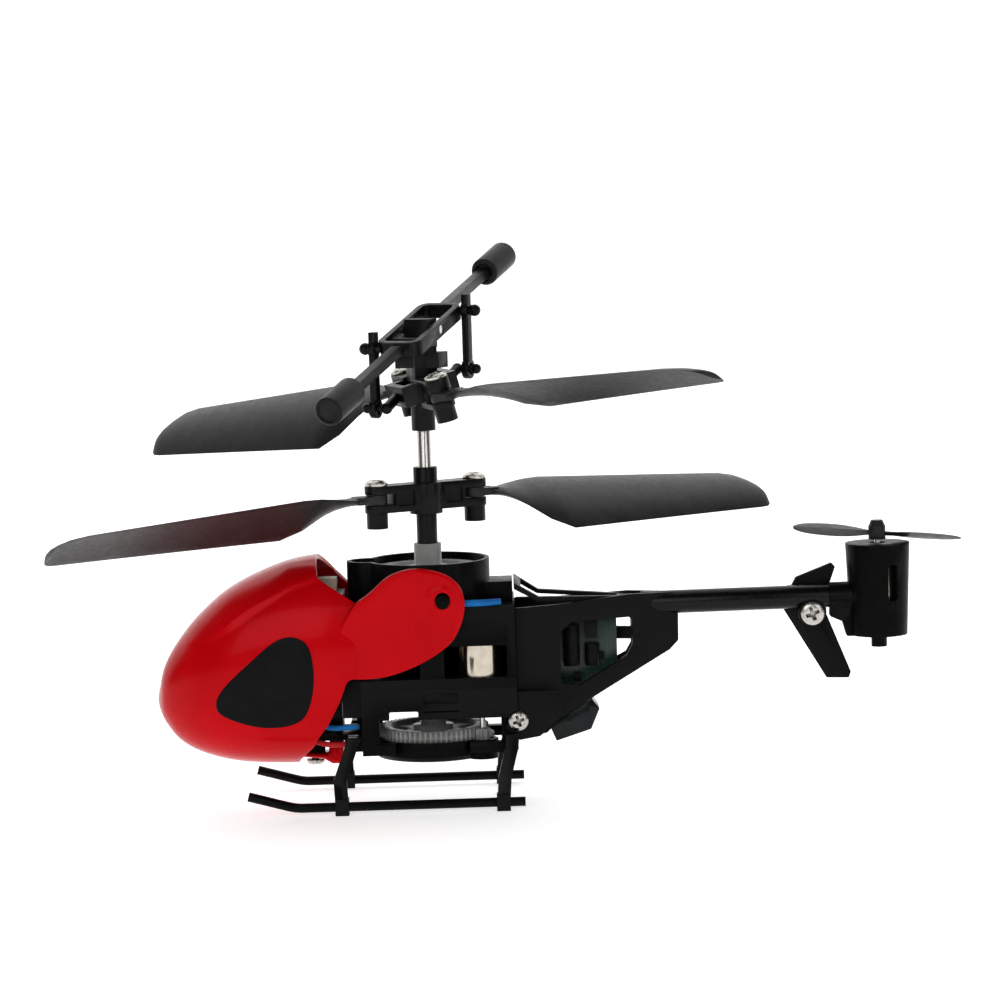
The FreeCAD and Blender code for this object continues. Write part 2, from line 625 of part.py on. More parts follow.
# ---- canopy ----
CANOPY_X = (7.0, 12.0, 16.0, 21.2, 28.4, 33.6, 37.0, 39.1, 40.0)
CANOPY_TOP = (36.2, 36.4, 36.35, 35.4, 32.3, 28.45, 24.6, 21.0, 17.6)
CANOPY_BOTTOM = (6.7, 6.6, 6.45, 6.2, 6.65, 8.0, 9.9, 12.5, 14.5)
CANOPY_HALF = (10.3, 10.5, 10.6, 10.4, 9.2, 7.4, 5.3, 3.3, 1.2)
CANOPY_WALL = 0.8


def canopy_section(x, top, bottom, half, power=2.35, count=20):
    """Closed smooth section, a superellipse between the top and bottom heights."""
    middle = (top + bottom) / 2
    height = (top - bottom) / 2
    points = []
    for i in range(count):
        a = 2 * math.pi * (i + 0.5) / count
        c, s = math.cos(a), math.sin(a)
        y = half * math.copysign(abs(c) ** (2 / power), c)
        z = middle + height * math.copysign(abs(s) ** (2 / power), s)
        points.append(Vector(x, y, z))
    curve = Part.BSplineCurve()
    curve.interpolate(points, PeriodicFlag=True)
    return Part.Wire(curve.toShape())


def canopy_form(inset):
    wires = []
    for x, top, bottom, half in zip(CANOPY_X, CANOPY_TOP, CANOPY_BOTTOM, CANOPY_HALF):
        reach = x - inset if x > 30 else x
        wires.append(canopy_section(reach, top - inset, bottom + inset, max(half - inset, 0.5)))
    return Part.makeLoft(wires, True, False)


def canopy_shell():
    rear_edge = [(10.4, 30.1), (14.6, 33.4), (16.5, 37.4), (16.5, 45.0), (50.0, 45.0), (50.0, 0.0), (18.0, 0.0),
                 (17.7, 8.6), (15.4, 11.0), (12.8, 15.0), (11.3, 19.0)]
    keep = side_prism(rear_edge, (-15, 15), 0.2)
    hollow = canopy_form(CANOPY_WALL)
    rear_room = box((0, 10), (-12, 12), (0, 45))
    return canopy_form(0.0).cut(hollow).common(keep).cut(rear_room)


def window_prism(side):
    outline = [(19.5, 25.9), (17.3, 24.2), (16.8, 19.2), (18.1, 14.5), (20.9, 12.8), (25.4, 12.75),
               (30.2, 14.4), (31.2, 16.3), (29.8, 18.8), (25.8, 22.5), (22.3, 25.3)]
    return curve_prism(outline, (3.0, 14.0) if side > 0 else (-14.0, -3.0))


def canopy_ear():
    """Port lobe that reaches back over the gear housing's peg."""
    outline = [(10.45, 30.5), (8.5, 31.9), (5.9, 34.1), (3.3, 35.1), (0.7, 35.2), (-2.4, 34.4), (-4.4, 32.8),
               (-5.2, 30.7), (-5.15, 28.6), (-4.4, 26.3), (-3.1, 24.3), (-0.4, 22.3), (3.2, 20.6), (6.9, 19.6),
               (11.0, 19.4), (12.0, 19.8), (12.9, 22.8), (13.2, 25.0), (12.8, 26.9), (11.7, 28.9)]
    plate = curve_prism(outline, (9.35, 10.45))
    return plate.cut(rod(PEG_R + 0.05, Vector(PEG[0], 5, PEG[1]), Vector(PEG[0], 15, PEG[1])))


def canopy():
    shell = canopy_shell()
    inside = canopy_form(CANOPY_WALL)
    ears = [canopy_ear(), mirrored(canopy_ear())]
    chin_tab = box((13.3, 15.4), (-2.2, 2.2), (5.9, 9.2))
    chin_lip = box((15.2, 19.6), (-2.2, 2.2), (6.75, 7.4))
    body = fuse(shell, *[ear.cut(inside) for ear in ears], chin_tab, chin_lip)
    body = body.cut(upright(1.45, CANOPY_SCREW_X, 0, (0, 6.75)))
    for side in (1, -1):
        body = body.cut(window_prism(side))
    return body.cut(upright(0.65, CANOPY_SCREW_X, 0, (0, 9)))


def canopy_windows():
    ring = canopy_form(0.0).cut(canopy_form(CANOPY_WALL))
    return group([ring.common(window_prism(side)) for side in (1, -1)])


# ---- fixed inner parts ----
CANOPY_SCREW_X = 17.5


def battery_tray():
    """Tray in front of the chassis with the canopy's screw boss."""
    floor = box((CHASSIS_X[1], 29.0), (-5.2, 5.2), (10.2, 11.0))
    back = box((CHASSIS_X[1], 11.0), (-5.2, 5.2), (10.2, 17.4))
    lips = [box((14.0, 28.4), y, (10.2, 13.0)) for y in ((-5.2, -4.5), (4.5, 5.2))]
    boss = upright(1.5, CANOPY_SCREW_X, 0, (7.4, 10.3))
    body = fuse(floor, back, boss, *lips)
    return body.cut(upright(0.55, CANOPY_SCREW_X, 0, (0, 13)))


def battery():
    cell = box((13.2, 32.2), (-4.0, 4.0), (11.1, 24.6))
    return cell.makeFillet(0.8, [e for e in cell.Edges if abs(e.tangentAt(e.FirstParameter).x) > 0.9])


def battery_connector():
    body = box((13.4, 16.1), (0.6, 3.4), (31.5, 33.8))
    hollow = box((14.9, 17.0), (1.1, 2.9), (32.0, 33.3))
    return body.cut(hollow)


BOARD_Y = (-0.9, -0.1)


def circuit_board():
    """Upright board on the middle plane between the rear plates."""
    outline = [(-13.4, 15.3), (-19.6, 15.3), (-27.3, 19.2), (-27.3, 27.3), (-13.4, 27.3)]
    return side_prism(outline, BOARD_Y, 0.15)


def board_components():
    """Chips, a coil and capacitors on the board's port face, as separate solids."""
    face = BOARD_Y[1]
    chips = [
        box((-18.6, -14.6), (face, face + 1.1), (21.0, 25.0)),
        box((-24.4, -22.6), (face, face + 1.5), (23.6, 26.6)),
        box((-21.9, -20.9), (face, face + 1.2), (17.2, 18.4)),
        box((-25.4, -24.4), (face, face + 0.8), (20.3, 21.3)),
    ]
    coil = rod(1.1, Vector(-23.6, face + 1.15, 19.6), Vector(-23.6, face + 1.15, 22.8))
    cans = [rod(1.2, Vector(-20.6, face + 1.25, 19.6), Vector(-20.6, face + 1.25, 25.6))]
    return group(chips + [coil] + cans)


def infrared_receiver():
    """Receiver block hung under the sloping edge of the rear plates."""
    outline = [(-17.0, 11.3), (-18.0, 8.9), (-23.1, 10.5), (-24.4, 13.5), (-23.3, 14.9), (-22.3, 14.3)]
    return side_prism(outline, (-2.0, 3.6), 0.2).cut(plate_bridge())


def socket_bore():
    """Round hole of the charging socket, on through the starboard rear plate."""
    x, z = SOCKET
    return rod(SOCKET_R, Vector(x, -9, z), Vector(x, -5, z))


def charge_socket():
    body = box((-17.2, -13.0), (-8.4, -3.6), (17.1, 20.9))
    body = body.cut(mirrored(splay(box((-40, 0), (-5, PLATE_THICK / 2), (0, 40)))))
    return body.cut(socket_bore())


SWITCH_X = -15.0


def switch_body():
    body = box((SWITCH_X - 2.7, SWITCH_X + 2.4), (-8.2, -4.0), (21.4, 24.6))
    body = body.cut(mirrored(splay(box((-40, 0), (-5, PLATE_THICK / 2), (0, 40)))))
    slot = box((SWITCH_X - 2.1, SWITCH_X + 1.9), (-9, -7.2), (22.3, 23.7))
    return body.cut(slot)


def switch_knob():
    stem = box((SWITCH_X - 0.1, SWITCH_X + 1.6), (-8.2, -7.3), (22.4, 23.6))
    ridge = box((SWITCH_X + 0.1, SWITCH_X + 1.4), (-9.2, -8.2), (22.4, 23.6))
    return fuse(stem, ridge)


def body_screws():
    """The two side screws of the rear plates and the upright one under them."""
    x, z = PLATE_SCREW
    near = screw(Vector(x, 8.0, z), Vector(0, -1, 0), PLATE_HEAD_R, 0.55, SCREW_R, 2.4)
    far = screw(Vector(x, -8.0, z), PORT, PLATE_HEAD_R, 0.55, SCREW_R, 2.4)
    under = screw(Vector(UNDER_SCREW[0], 0, UNDER_SCREW[1]), UP, 1.5, 0.8, 0.55, 3.0)
    return group([near, far, under])


def blue_lead():
    route = [Vector(-4.3, 8.45, 30.15), Vector(-7.4, 8.4, 30.15), Vector(-10.4, 7.7, 30.15)]
    return tube_along(route, [12.0], 0.5)


def lead(points, radii):
    return tube_along(points, radii, 0.4)


def battery_lead_blue():
    return lead([Vector(10.7, 6.9, 12.4), Vector(14.5, 6.4, 12.2), Vector(18.0, 5.6, 13.0)], [6.0])


def battery_lead_red():
    return lead([Vector(12.7, 7.0, 9.9), Vector(15.4, 6.4, 9.8), Vector(18.0, 5.8, 10.6)], [6.0])


# ---- rotor blades and hubs ----
BLADE_NECK = 2.2
BLADE_WIDEST = 12.4
BLADE_LEAD = (1.6, 3.3, 3.5)
BLADE_TRAIL = (1.8, 10.0, 6.3)
BLADE_THICK = (1.2, 1.0, 0.7)
BLADE_STATIONS = (2.2, 4.0, 6.5, 9.5, 11.4, 12.4, 14.5, 20.0, 30.0, 40.0, 45.0, 47.5, 48.8, 49.5, 49.8)


def blend(values, x):
    """Straight-line value at x between the neck, the widest place and the tip."""
    neck, widest, tip = values
    if x < BLADE_WIDEST:
        return neck + (widest - neck) * (x - BLADE_NECK) / (BLADE_WIDEST - BLADE_NECK)
    return widest + (tip - widest) * (x - BLADE_WIDEST) / (BLADE_LENGTH - BLADE_WIDEST)


def corner_loss(x, radius):
    """How much a rounded tip corner of this radius takes off one edge at x."""
    over = x - (BLADE_LENGTH - radius)
    return radius - math.sqrt(max(radius * radius - over * over, 0.0)) if over > 0 else 0.0


def blade_section(x, hand):
    """Cambered section at a distance from the fold screw, leading edge up."""
    lead_reach = blend(BLADE_LEAD, x) - corner_loss(x, 4.6)
    trail_reach = blend(BLADE_TRAIL, x) - corner_loss(x, 1.6)
    thick = blend(BLADE_THICK, x)
    chord = lead_reach + trail_reach
    share = min(max((x - BLADE_NECK) / 6.0, 0.0), 1.0)
    outer = max((x - BLADE_WIDEST) / (BLADE_LENGTH - BLADE_WIDEST), 0.0)
    pitch = math.radians((BLADE_PITCH_ROOT + (BLADE_PITCH_TIP - BLADE_PITCH_ROOT) * outer) * share)
    camber = 0.055 * chord * share

    def at(y, z):
        turned_y = y * math.cos(pitch) - z * math.sin(pitch)
        turned_z = y * math.sin(pitch) + z * math.cos(pitch)
        return Vector(x, hand * turned_y, turned_z)

    crest = lead_reach - chord * 0.38
    nose = at(lead_reach, 0)
    tail = at(-trail_reach, 0)
    upper = Part.Arc(tail, at(crest, camber + thick / 2), nose).toShape()
    lower = Part.Arc(nose, at(crest, camber - thick / 2), tail).toShape()
    return Part.Wire([upper, lower])


def blade(hand, droop):
    """Blade in its own frame: fold screw along Z at the origin, blade along +X, root tab level."""
    wires = [blade_section(x, hand) for x in BLADE_STATIONS]
    airfoil = Part.makeLoft(wires, True, True)
    airfoil.rotate(Vector(BLADE_NECK, 0, 0), PORT, droop)
    tab = upright(1.55, 0, 0, (-BLADE_TAB / 2, BLADE_TAB / 2))
    neck = box((0, 3.4), (-1.5, 1.5), (-0.55, 0.55))
    return fuse(tab, neck, airfoil).cut(upright(0.7, 0, 0, (-5, 5)))


def grip(z, slot, boss_low):
    """One forked end of a hub in its own frame, along +X, with the screw at SCREW_RADIUS."""
    half = HUB_WIDTH / 2
    bar = fuse(box((1.0, SCREW_RADIUS), (-half, half), z), upright(half, SCREW_RADIUS, 0, z))
    gap = box((5.7, 14), (-4, 4), slot)
    bar = bar.cut(gap)
    boss = upright(half - 0.2, SCREW_RADIUS, 0, (boss_low, z[0] + 0.1))
    bar = fuse(bar, boss)
    for y in (half - 0.45, -half - 0.4):
        bar = bar.cut(box((2.6, 5.2), (y, y + 0.85), (z[0] + 0.9, z[1] - 0.9)))
    return bar.cut(upright(0.6, SCREW_RADIUS, 0, (0 if z[0] > 5 else -20, 99)))


def turned(shape, degrees):
    moved = shape.copy()
    moved.rotate(Vector(0, 0, 0), UP, degrees)
    return moved


def lower_rotor_hub():
    end = grip(LOWER_HUB_Z, LOWER_SLOT_Z, 40.9)
    boss = upright(2.4, 0, 0, (LOWER_HUB_Z[0] - 0.6, LOWER_HUB_Z[1]))
    crown = upright(1.75, 0, 0, (LOWER_HUB_Z[1] - 0.2, 49.4))
    body = fuse(boss, crown, end, turned(end, 180))
    body = body.cut(upright(OUTER_SHAFT_R, 0, 0, (0, LOWER_HUB_Z[1] - 0.15)))
    return turned(body.cut(upright(INNER_SHAFT_R + RUNNING, 0, 0, (0, 99))), LOWER_AXIS)


def lower_blade_screws():
    pair = []
    for turn in (0, 180):
        place = heading(LOWER_AXIS + turn) * SCREW_RADIUS
        pair.append(screw(place + UP * LOWER_HUB_Z[1], Vector(0, 0, -1), 1.65, 0.8, 0.6, 5.6))
    return group(pair)


def lower_blade(turn, fold, droop):
    middle = (LOWER_SLOT_Z[0] + LOWER_SLOT_Z[1]) / 2
    place = heading(LOWER_AXIS + turn) * SCREW_RADIUS + UP * middle
    return placed(blade(1, droop), place, heading(LOWER_AXIS + turn + fold), UP)


# Upper hub frame: x along the grip axis, z the hub's tilted normal.
def hub_axes():
    grip_axis = heading(UPPER_AXIS)
    normal = UP * math.cos(math.radians(UPPER_TILT)) + grip_axis.cross(UP) * math.sin(math.radians(UPPER_TILT))
    return Vector(0, 0, UPPER_HUB_Z), grip_axis, normal


def ball_places():
    """Centres of the flybar's two link stems and of the hub's two link balls."""
    bar = heading(FLYBAR_AXIS, FLYBAR_TILT)
    across = heading(FLYBAR_AXIS - 90)
    pivot = Vector(0, 0, FLYBAR_Z)
    upper = [pivot + bar * (s * STEM_ALONG) + across * (s * LINK_ACROSS) for s in (1, -1)]
    lower = [p - UP * LINK_LENGTH for p in upper]
    return upper, lower, across


def upper_rotor_hub():
    """Feathering blade holder: a ring round the head post, two grips and two link arms."""
    origin, grip_axis, normal = hub_axes()
    side_axis = normal.cross(grip_axis)
    end = grip((-2.4, 1.9), UPPER_SLOT, -4.5)
    eye = box((-2.5, 2.5), (-3.3, 3.3), (-9, 9))
    ring = box((-4.1, 4.1), (-4.3, 4.3), (-1.5, 1.5))
    local = fuse(ring, end, turned(end, 180)).cut(eye)
    local = local.cut(rod(PIN_R + RUNNING, Vector(-4.6, 0, 0), Vector(4.6, 0, 0)))
    body = placed(local, origin, grip_axis, normal)
    upper, lower, across = ball_places()
    for sign, eye in ((1, lower[0]), (-1, lower[1])):
        root = origin - side_axis * (sign * 3.8)
        outward = across * sign
        knee = eye - outward * 1.75
        arm = rod(0.75, root, knee)
        stem = rod(0.5, knee, eye + outward * 1.3)
        body = fuse(body, arm, stem, Part.makeSphere(0.85, knee), Part.makeSphere(0.75, eye + outward * 1.3))
    return body


def upper_blade_screws():
    origin, grip_axis, normal = hub_axes()
    pair = []
    for sign in (1, -1):
        head = origin + grip_axis * (sign * SCREW_RADIUS) + normal * 1.9
        pair.append(screw(head, normal * -1, 1.65, 0.75, 0.6, 5.4))
    return group(pair)


def upper_blade(sign, fold, droop):
    origin, grip_axis, normal = hub_axes()
    middle = (UPPER_SLOT[0] + UPPER_SLOT[1]) / 2
    place = origin + grip_axis * (sign * SCREW_RADIUS) + normal * middle
    turn = Rotation(normal, fold)
    return placed(blade(-1, droop), place, turn.multVec(grip_axis * sign), normal)


def rotor_head():
    """Post on top of the inner shaft that carries the hub pins and the flybar pivot."""
    sleeve = upright(1.75, 0, 0, (54.75, 59.2)).cut(upright(INNER_SHAFT_R, 0, 0, (50, UPPER_HUB_Z - 1.3)))
    grip_axis = heading(UPPER_AXIS)
    post = Part.makeBox(4.2, 3.4, 8.6)
    post.translate(Vector(-2.1, -1.7, 0))
    post = placed(post, Vector(0, 0, 58.4), grip_axis, UP)
    shoulder = Part.makeBox(7.0, 3.2, 2.3)
    shoulder.translate(Vector(-3.5, -1.6, 0))
    shoulder = placed(shoulder, Vector(0, 0, 63.9), heading(FLYBAR_AXIS - 90), UP)
    lug = Part.makeBox(3.2, 3.8, 4.2)
    lug.translate(Vector(-1.6, -1.9, 0))
    lug = placed(lug, Vector(0, 0, 66.8), heading(FLYBAR_AXIS), UP)
    body = fuse(sleeve, post, shoulder, lug)
    body = body.cut(upright(INNER_SHAFT_R, 0, 0, (50, UPPER_HUB_Z - 1.3)))
    across = heading(FLYBAR_AXIS - 90)
    body = body.cut(rod(PIN_R, Vector(0, 0, FLYBAR_Z) - across * 5, Vector(0, 0, FLYBAR_Z) + across * 5))
    centre = Vector(0, 0, UPPER_HUB_Z)
    return body.cut(rod(PIN_R, centre - grip_axis * 5, centre + grip_axis * 5))


def head_pins():
    across = heading(FLYBAR_AXIS - 90)
    grip_axis = heading(UPPER_AXIS)
    top = Vector(0, 0, FLYBAR_Z)
    centre = Vector(0, 0, UPPER_HUB_Z)
    return group([rod(PIN_R, top - across * 3.3, top + across * 3.3),
                  rod(PIN_R, centre - grip_axis * 4.0, centre + grip_axis * 4.0)])


def flybar():
    """Teetering bar: a windowed frame round the head lug, two arms and two link stems."""
    long_half, wide_half = FRAME_HALF
    half = FRAME_THICK / 2
    corners = [(-long_half, -wide_half), (long_half, -wide_half), (long_half, wide_half), (-long_half, wide_half)]
    inner = [(math.copysign(abs(x) - FRAME_WALL, x), math.copysign(abs(y) - FRAME_WALL, y)) for x, y in corners]
    ring = plan_prism(corners, (-half, half), 1.6).cut(plan_prism(inner, (-half - 1, half + 1), 0.9))
    web = box((FRAME_WEB, FRAME_WEB + 0.7), (0.6 - wide_half, wide_half - 0.6), (-half, half * 0.3))
    body = fuse(ring, web).cut(rod(PIN_R + RUNNING, Vector(0, -5, 0), Vector(0, 5, 0)))
    arm_half = 0.72
    end = FLYBAR_REACH - FLYBAR_WEIGHT_LENGTH + 0.6
    for sign in (1, -1):
        lengthwise = sorted((sign * (long_half - 0.5), sign * end))
        arm = box(lengthwise, (-arm_half, arm_half), (-arm_half, arm_half))
        spigot = rod(1.0, Vector(sign * (end - 0.1), 0, 0), Vector(sign * (end + 3.0), 0, 0))
        stem_start = Vector(sign * STEM_ALONG, -sign * (wide_half - 0.6), 0)
        stem = rod(0.6, stem_start, Vector(sign * STEM_ALONG, -sign * KNOB_ACROSS, 0))
        knob = Part.makeSphere(0.88, Vector(sign * STEM_ALONG, -sign * KNOB_ACROSS, 0))
        body = fuse(body, arm, spigot, stem, knob)
    bar = heading(FLYBAR_AXIS, FLYBAR_TILT)
    normal = heading(FLYBAR_AXIS - 90).cross(bar)
    return placed(body, Vector(0, 0, FLYBAR_Z), bar, normal)


def flybar_weights():
    """Round end weights, hollowed in their outer faces, pressed on the bar's spigots."""
    pair = []
    bar = heading(FLYBAR_AXIS, FLYBAR_TILT)
    centre = Vector(0, 0, FLYBAR_Z)
    start = FLYBAR_REACH - FLYBAR_WEIGHT_LENGTH
    for sign in (1, -1):
        along = bar * sign
        weight = rod(FLYBAR_WEIGHT_R, centre + along * start, centre + along * FLYBAR_REACH)
        weight = weight.makeFillet(0.5, [e for e in weight.Edges if e.Length > 10])
        weight = weight.cut(rod(1.6, centre + along * (FLYBAR_REACH - 0.5), centre + along * (FLYBAR_REACH + 1)))
        weight = weight.cut(rod(1.0, centre + along * (start + 0.4), centre + along * (start + 3.6)))
        weight = weight.cut(rod(1.45, centre + along * (start - 1), centre + along * (start + 0.65)))
        pair.append(weight)
    return group(pair)


def link(index):
    """Flat control link: a close eye on the flybar's stem and a loose eye on the hub's ball."""
    upper, lower, across = ball_places()
    sign = 1 if index == 0 else -1
    outward = across * sign
    a, b = upper[index], lower[index]
    half = outward * 0.5
    eyes = [rod(1.2, a - half, a + half), rod(1.45, b - half, b + half)]
    bar_axis = UP.cross(outward)
    web = placed(box((-0.7, 0.7), (-0.5, 0.5), (0.9, LINK_LENGTH + 2.4)), b, bar_axis, UP)
    body = fuse(*eyes, web)
    body = body.cut(rod(0.65, a - half * 3, a + half * 3))
    return body.cut(rod(0.87, b - half * 3, b + half * 3))


# ---- the assembly ----
def build():
    left_plate = rear_plate()
    right_plate = fuse(mirrored(left_plate), window_rib()).cut(socket_bore())
    shapes = {
        "canopy": canopy(),
        "canopy_windows": canopy_windows(),
        "canopy_screw": screw(Vector(CANOPY_SCREW_X, 0, 6.75), UP, 1.3, 0.7, 0.55, 3.2),
        "gear_housing": gear_housing(),
        "motor_frame": chassis(),
        "lower_gear_guard": guard(),
        "rear_plate_left": left_plate,
        "rear_plate_right": right_plate,
        "plate_bridge": plate_bridge(),
        "top_deck": top_deck(),
        "body_screws": body_screws(),
        "battery_tray": battery_tray(),
        "battery": battery(),
        "battery_connector": battery_connector(),
        "circuit_board": circuit_board(),
        "board_components": board_components(),
        "infrared_receiver": infrared_receiver(),
        "charge_socket": charge_socket(),
        "switch_body": switch_body(),
        "switch_knob": switch_knob(),
        "blue_motor_lead": blue_lead(),
        "blue_battery_lead": battery_lead_blue(),
        "red_battery_lead": battery_lead_red(),
        "front_motor": motor(FRONT_MOTOR_ANGLE),
        "rear_motor": motor(REAR_MOTOR_ANGLE),
        "tail_boom": tail_boom(),
        "tail_fin": tail_fin(),
        "tail_fin_screw": screw(Vector(*FIN_SCREW), Vector(0, -1, 0), 1.7, 0.55, SCREW_R, 3.9),
        "tail_motor_housing": tail_motor_housing(),
        "tail_motor": tail_motor(),
        "upper_shaft_bearing": bearing((CUP_Z[0], CUP_Z[0] + CUP_FLOOR), OUTER_SHAFT_R + RUNNING),
        "lower_shaft_bearing": bearing((CHASSIS_BOTTOM + 1.2, CHASSIS_BOTTOM + 2.3), INNER_SHAFT_R + RUNNING),
        "upper_drive_gear": upper_drive_gear(),
        "outer_shaft": outer_shaft(),
        "lower_rotor_hub": lower_rotor_hub(),
        "lower_blade_screws": lower_blade_screws(),
        "lower_blade_front": lower_blade(0, LOWER_FOLD_FRONT, LOWER_DROOP_FRONT),
        "lower_blade_rear": lower_blade(180, LOWER_FOLD_REAR, LOWER_DROOP_REAR),
        "front_pinion": pinion(FRONT_MOTOR_ANGLE, UPPER_GEAR_Z),
        "front_motor_shaft": motor_shaft(FRONT_MOTOR_ANGLE, (MOTOR_Z[1] - 4, UPPER_GEAR_Z[1])),
        "rear_pinion": pinion(REAR_MOTOR_ANGLE, LOWER_GEAR_Z),
        "rear_motor_shaft": motor_shaft(REAR_MOTOR_ANGLE, (LOWER_GEAR_Z[0], MOTOR_Z[0] + 4)),
        "lower_drive_gear": lower_drive_gear(),
        "inner_shaft": inner_shaft(),
        "rotor_head": rotor_head(),
        "head_pins": head_pins(),
        "upper_rotor_hub": upper_rotor_hub(),
        "upper_blade_screws": upper_blade_screws(),
        "upper_blade_port": upper_blade(1, UPPER_FOLD_PORT, UPPER_DROOP_PORT),
        "upper_blade_starboard": upper_blade(-1, UPPER_FOLD_STARBOARD, 0.0),
        "flybar": flybar(),
        "flybar_weights": flybar_weights(),
        "link_front": link(0),
        "link_rear": link(1),
        "tail_rotor": tail_rotor(),
        "tail_motor_shaft": upright(MOTOR_SHAFT_R, TAIL_X, 0, (TAIL_Z[0] + 3, TAIL_PROP_Z + 0.8)),
    }
    front = front_leg()
    rear = rear_leg()
    tube = skid()
    shapes["legs_left"] = group([front, rear])
    shapes["legs_right"] = group([mirrored(front), mirrored(rear)])
    shapes["skid_left"] = tube
    shapes["skid_right"] = mirrored(tube)
    return shapes


def whole_box(shapes):
    total = FreeCAD.BoundBox()
    for shape in shapes.values():
        total.add(shape.optimalBoundingBox(True, False))
    return total


def main():
    shapes = build()
    total = whole_box(shapes)
    shift = Vector(-total.Center.x, -total.Center.y, -total.ZMin)
    print("size", round(total.XLength, 3), round(total.YLength, 3), round(total.ZLength, 3))
    print("shift", round(shift.x, 4), round(shift.y, 4), round(shift.z, 4))
    os.makedirs("parts", exist_ok=True)
    for name, shape in shapes.items():
        shape.translate(shift)
        if not shape.isValid() or not shape.Solids:
            print("check", name, shape.isValid(), len(shape.Solids))
        shape.exportStep(os.path.join("parts", name + ".step"))
    print(len(shapes), "nodes")


main()
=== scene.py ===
import json
import math

import bmesh
import bpy
from mathutils import Matrix, Vector


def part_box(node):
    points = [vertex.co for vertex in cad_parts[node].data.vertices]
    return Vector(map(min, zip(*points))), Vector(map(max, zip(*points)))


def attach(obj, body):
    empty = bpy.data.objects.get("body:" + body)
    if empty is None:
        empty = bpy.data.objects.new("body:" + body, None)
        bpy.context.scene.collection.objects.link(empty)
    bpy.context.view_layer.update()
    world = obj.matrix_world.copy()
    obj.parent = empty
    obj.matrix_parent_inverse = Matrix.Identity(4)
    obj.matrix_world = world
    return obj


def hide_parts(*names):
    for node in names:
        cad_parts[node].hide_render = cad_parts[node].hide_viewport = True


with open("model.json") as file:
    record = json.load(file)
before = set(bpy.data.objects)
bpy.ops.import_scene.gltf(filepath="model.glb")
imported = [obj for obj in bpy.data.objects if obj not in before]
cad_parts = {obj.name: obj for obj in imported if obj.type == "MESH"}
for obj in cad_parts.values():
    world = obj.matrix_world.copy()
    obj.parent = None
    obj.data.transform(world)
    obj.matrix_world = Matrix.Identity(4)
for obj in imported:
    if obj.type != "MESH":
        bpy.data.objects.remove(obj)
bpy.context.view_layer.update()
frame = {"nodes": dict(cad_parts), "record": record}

MM = 0.001
WELD_GAP = 0.000002
nodes = frame["nodes"]


# ---- places read from the CAD frame ----
def centre(node):
    low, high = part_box(node)
    return (low + high) / 2


SHAFT = centre("inner_shaft")


def place(x, y, z):
    """A point in millimetres from the rotor shaft's axis (+x nose, +y port) and the ground."""
    return Vector((SHAFT.x + x * MM, SHAFT.y + y * MM, z * MM))


# ---- shader helpers ----
def new_material(name):
    material = bpy.data.materials.new(name)
    material.use_nodes = True
    tree = material.node_tree
    return material, tree, tree.nodes["Principled BSDF"]


def position(tree, scale=(1000.0, 1000.0, 1000.0)):
    """Object coordinates in millimetres, stretched by scale."""
    coordinates = tree.nodes.new("ShaderNodeTexCoord")
    mapping = tree.nodes.new("ShaderNodeMapping")
    mapping.inputs["Scale"].default_value = scale
    tree.links.new(coordinates.outputs["Object"], mapping.inputs["Vector"])
    return mapping.outputs["Vector"]


def noise(tree, vector, scale, detail=4.0, roughness=0.55):
    texture = tree.nodes.new("ShaderNodeTexNoise")
    texture.inputs["Scale"].default_value = scale
    texture.inputs["Detail"].default_value = detail
    texture.inputs["Roughness"].default_value = roughness
    tree.links.new(vector, texture.inputs["Vector"])
    return texture.outputs["Fac"]


def ramp(tree, factor, low, high, start=0.3, end=0.7):
    """Colour ramp between two greys or colours."""
    node = tree.nodes.new("ShaderNodeValToRGB")
    elements = node.color_ramp.elements
    elements[0].position = start
    elements[1].position = end
    elements[0].color = colour4(low)
    elements[1].color = colour4(high)
    tree.links.new(factor, node.inputs["Fac"])
    return node.outputs["Color"]


def colour4(value):
    if isinstance(value, (int, float)):
        return (value, value, value, 1.0)
    return (value[0], value[1], value[2], 1.0)


def bump(tree, shader, height, strength, distance):
    node = tree.nodes.new("ShaderNodeBump")
    node.inputs["Strength"].default_value = strength
    node.inputs["Distance"].default_value = distance
    tree.links.new(height, node.inputs["Height"])
    tree.links.new(node.outputs["Normal"], shader.inputs["Normal"])


def worn_edges(tree, low, high):
    """Factor that rises on convex edges, from the surface's pointiness."""
    geometry = tree.nodes.new("ShaderNodeNewGeometry")
    return ramp(tree, geometry.outputs["Pointiness"], 0.0, 1.0, low, high)


def mixed(tree, factor, first, second):
    node = tree.nodes.new("ShaderNodeMix")
    node.data_type = "RGBA"
    tree.links.new(factor, node.inputs[0])
    for socket, value in ((node.inputs[6], first), (node.inputs[7], second)):
        if isinstance(value, (tuple, list, float, int)):
            socket.default_value = colour4(value)
        else:
            tree.links.new(value, socket)
    return node.outputs[2]


FINE_RELIEF = 0.00005
BRUSH_RELIEF = 0.00002
PEEL_RELIEF = 0.0001
TRACK_RELIEF = 0.00004
WEAR_START, WEAR_END = 0.53, 0.62


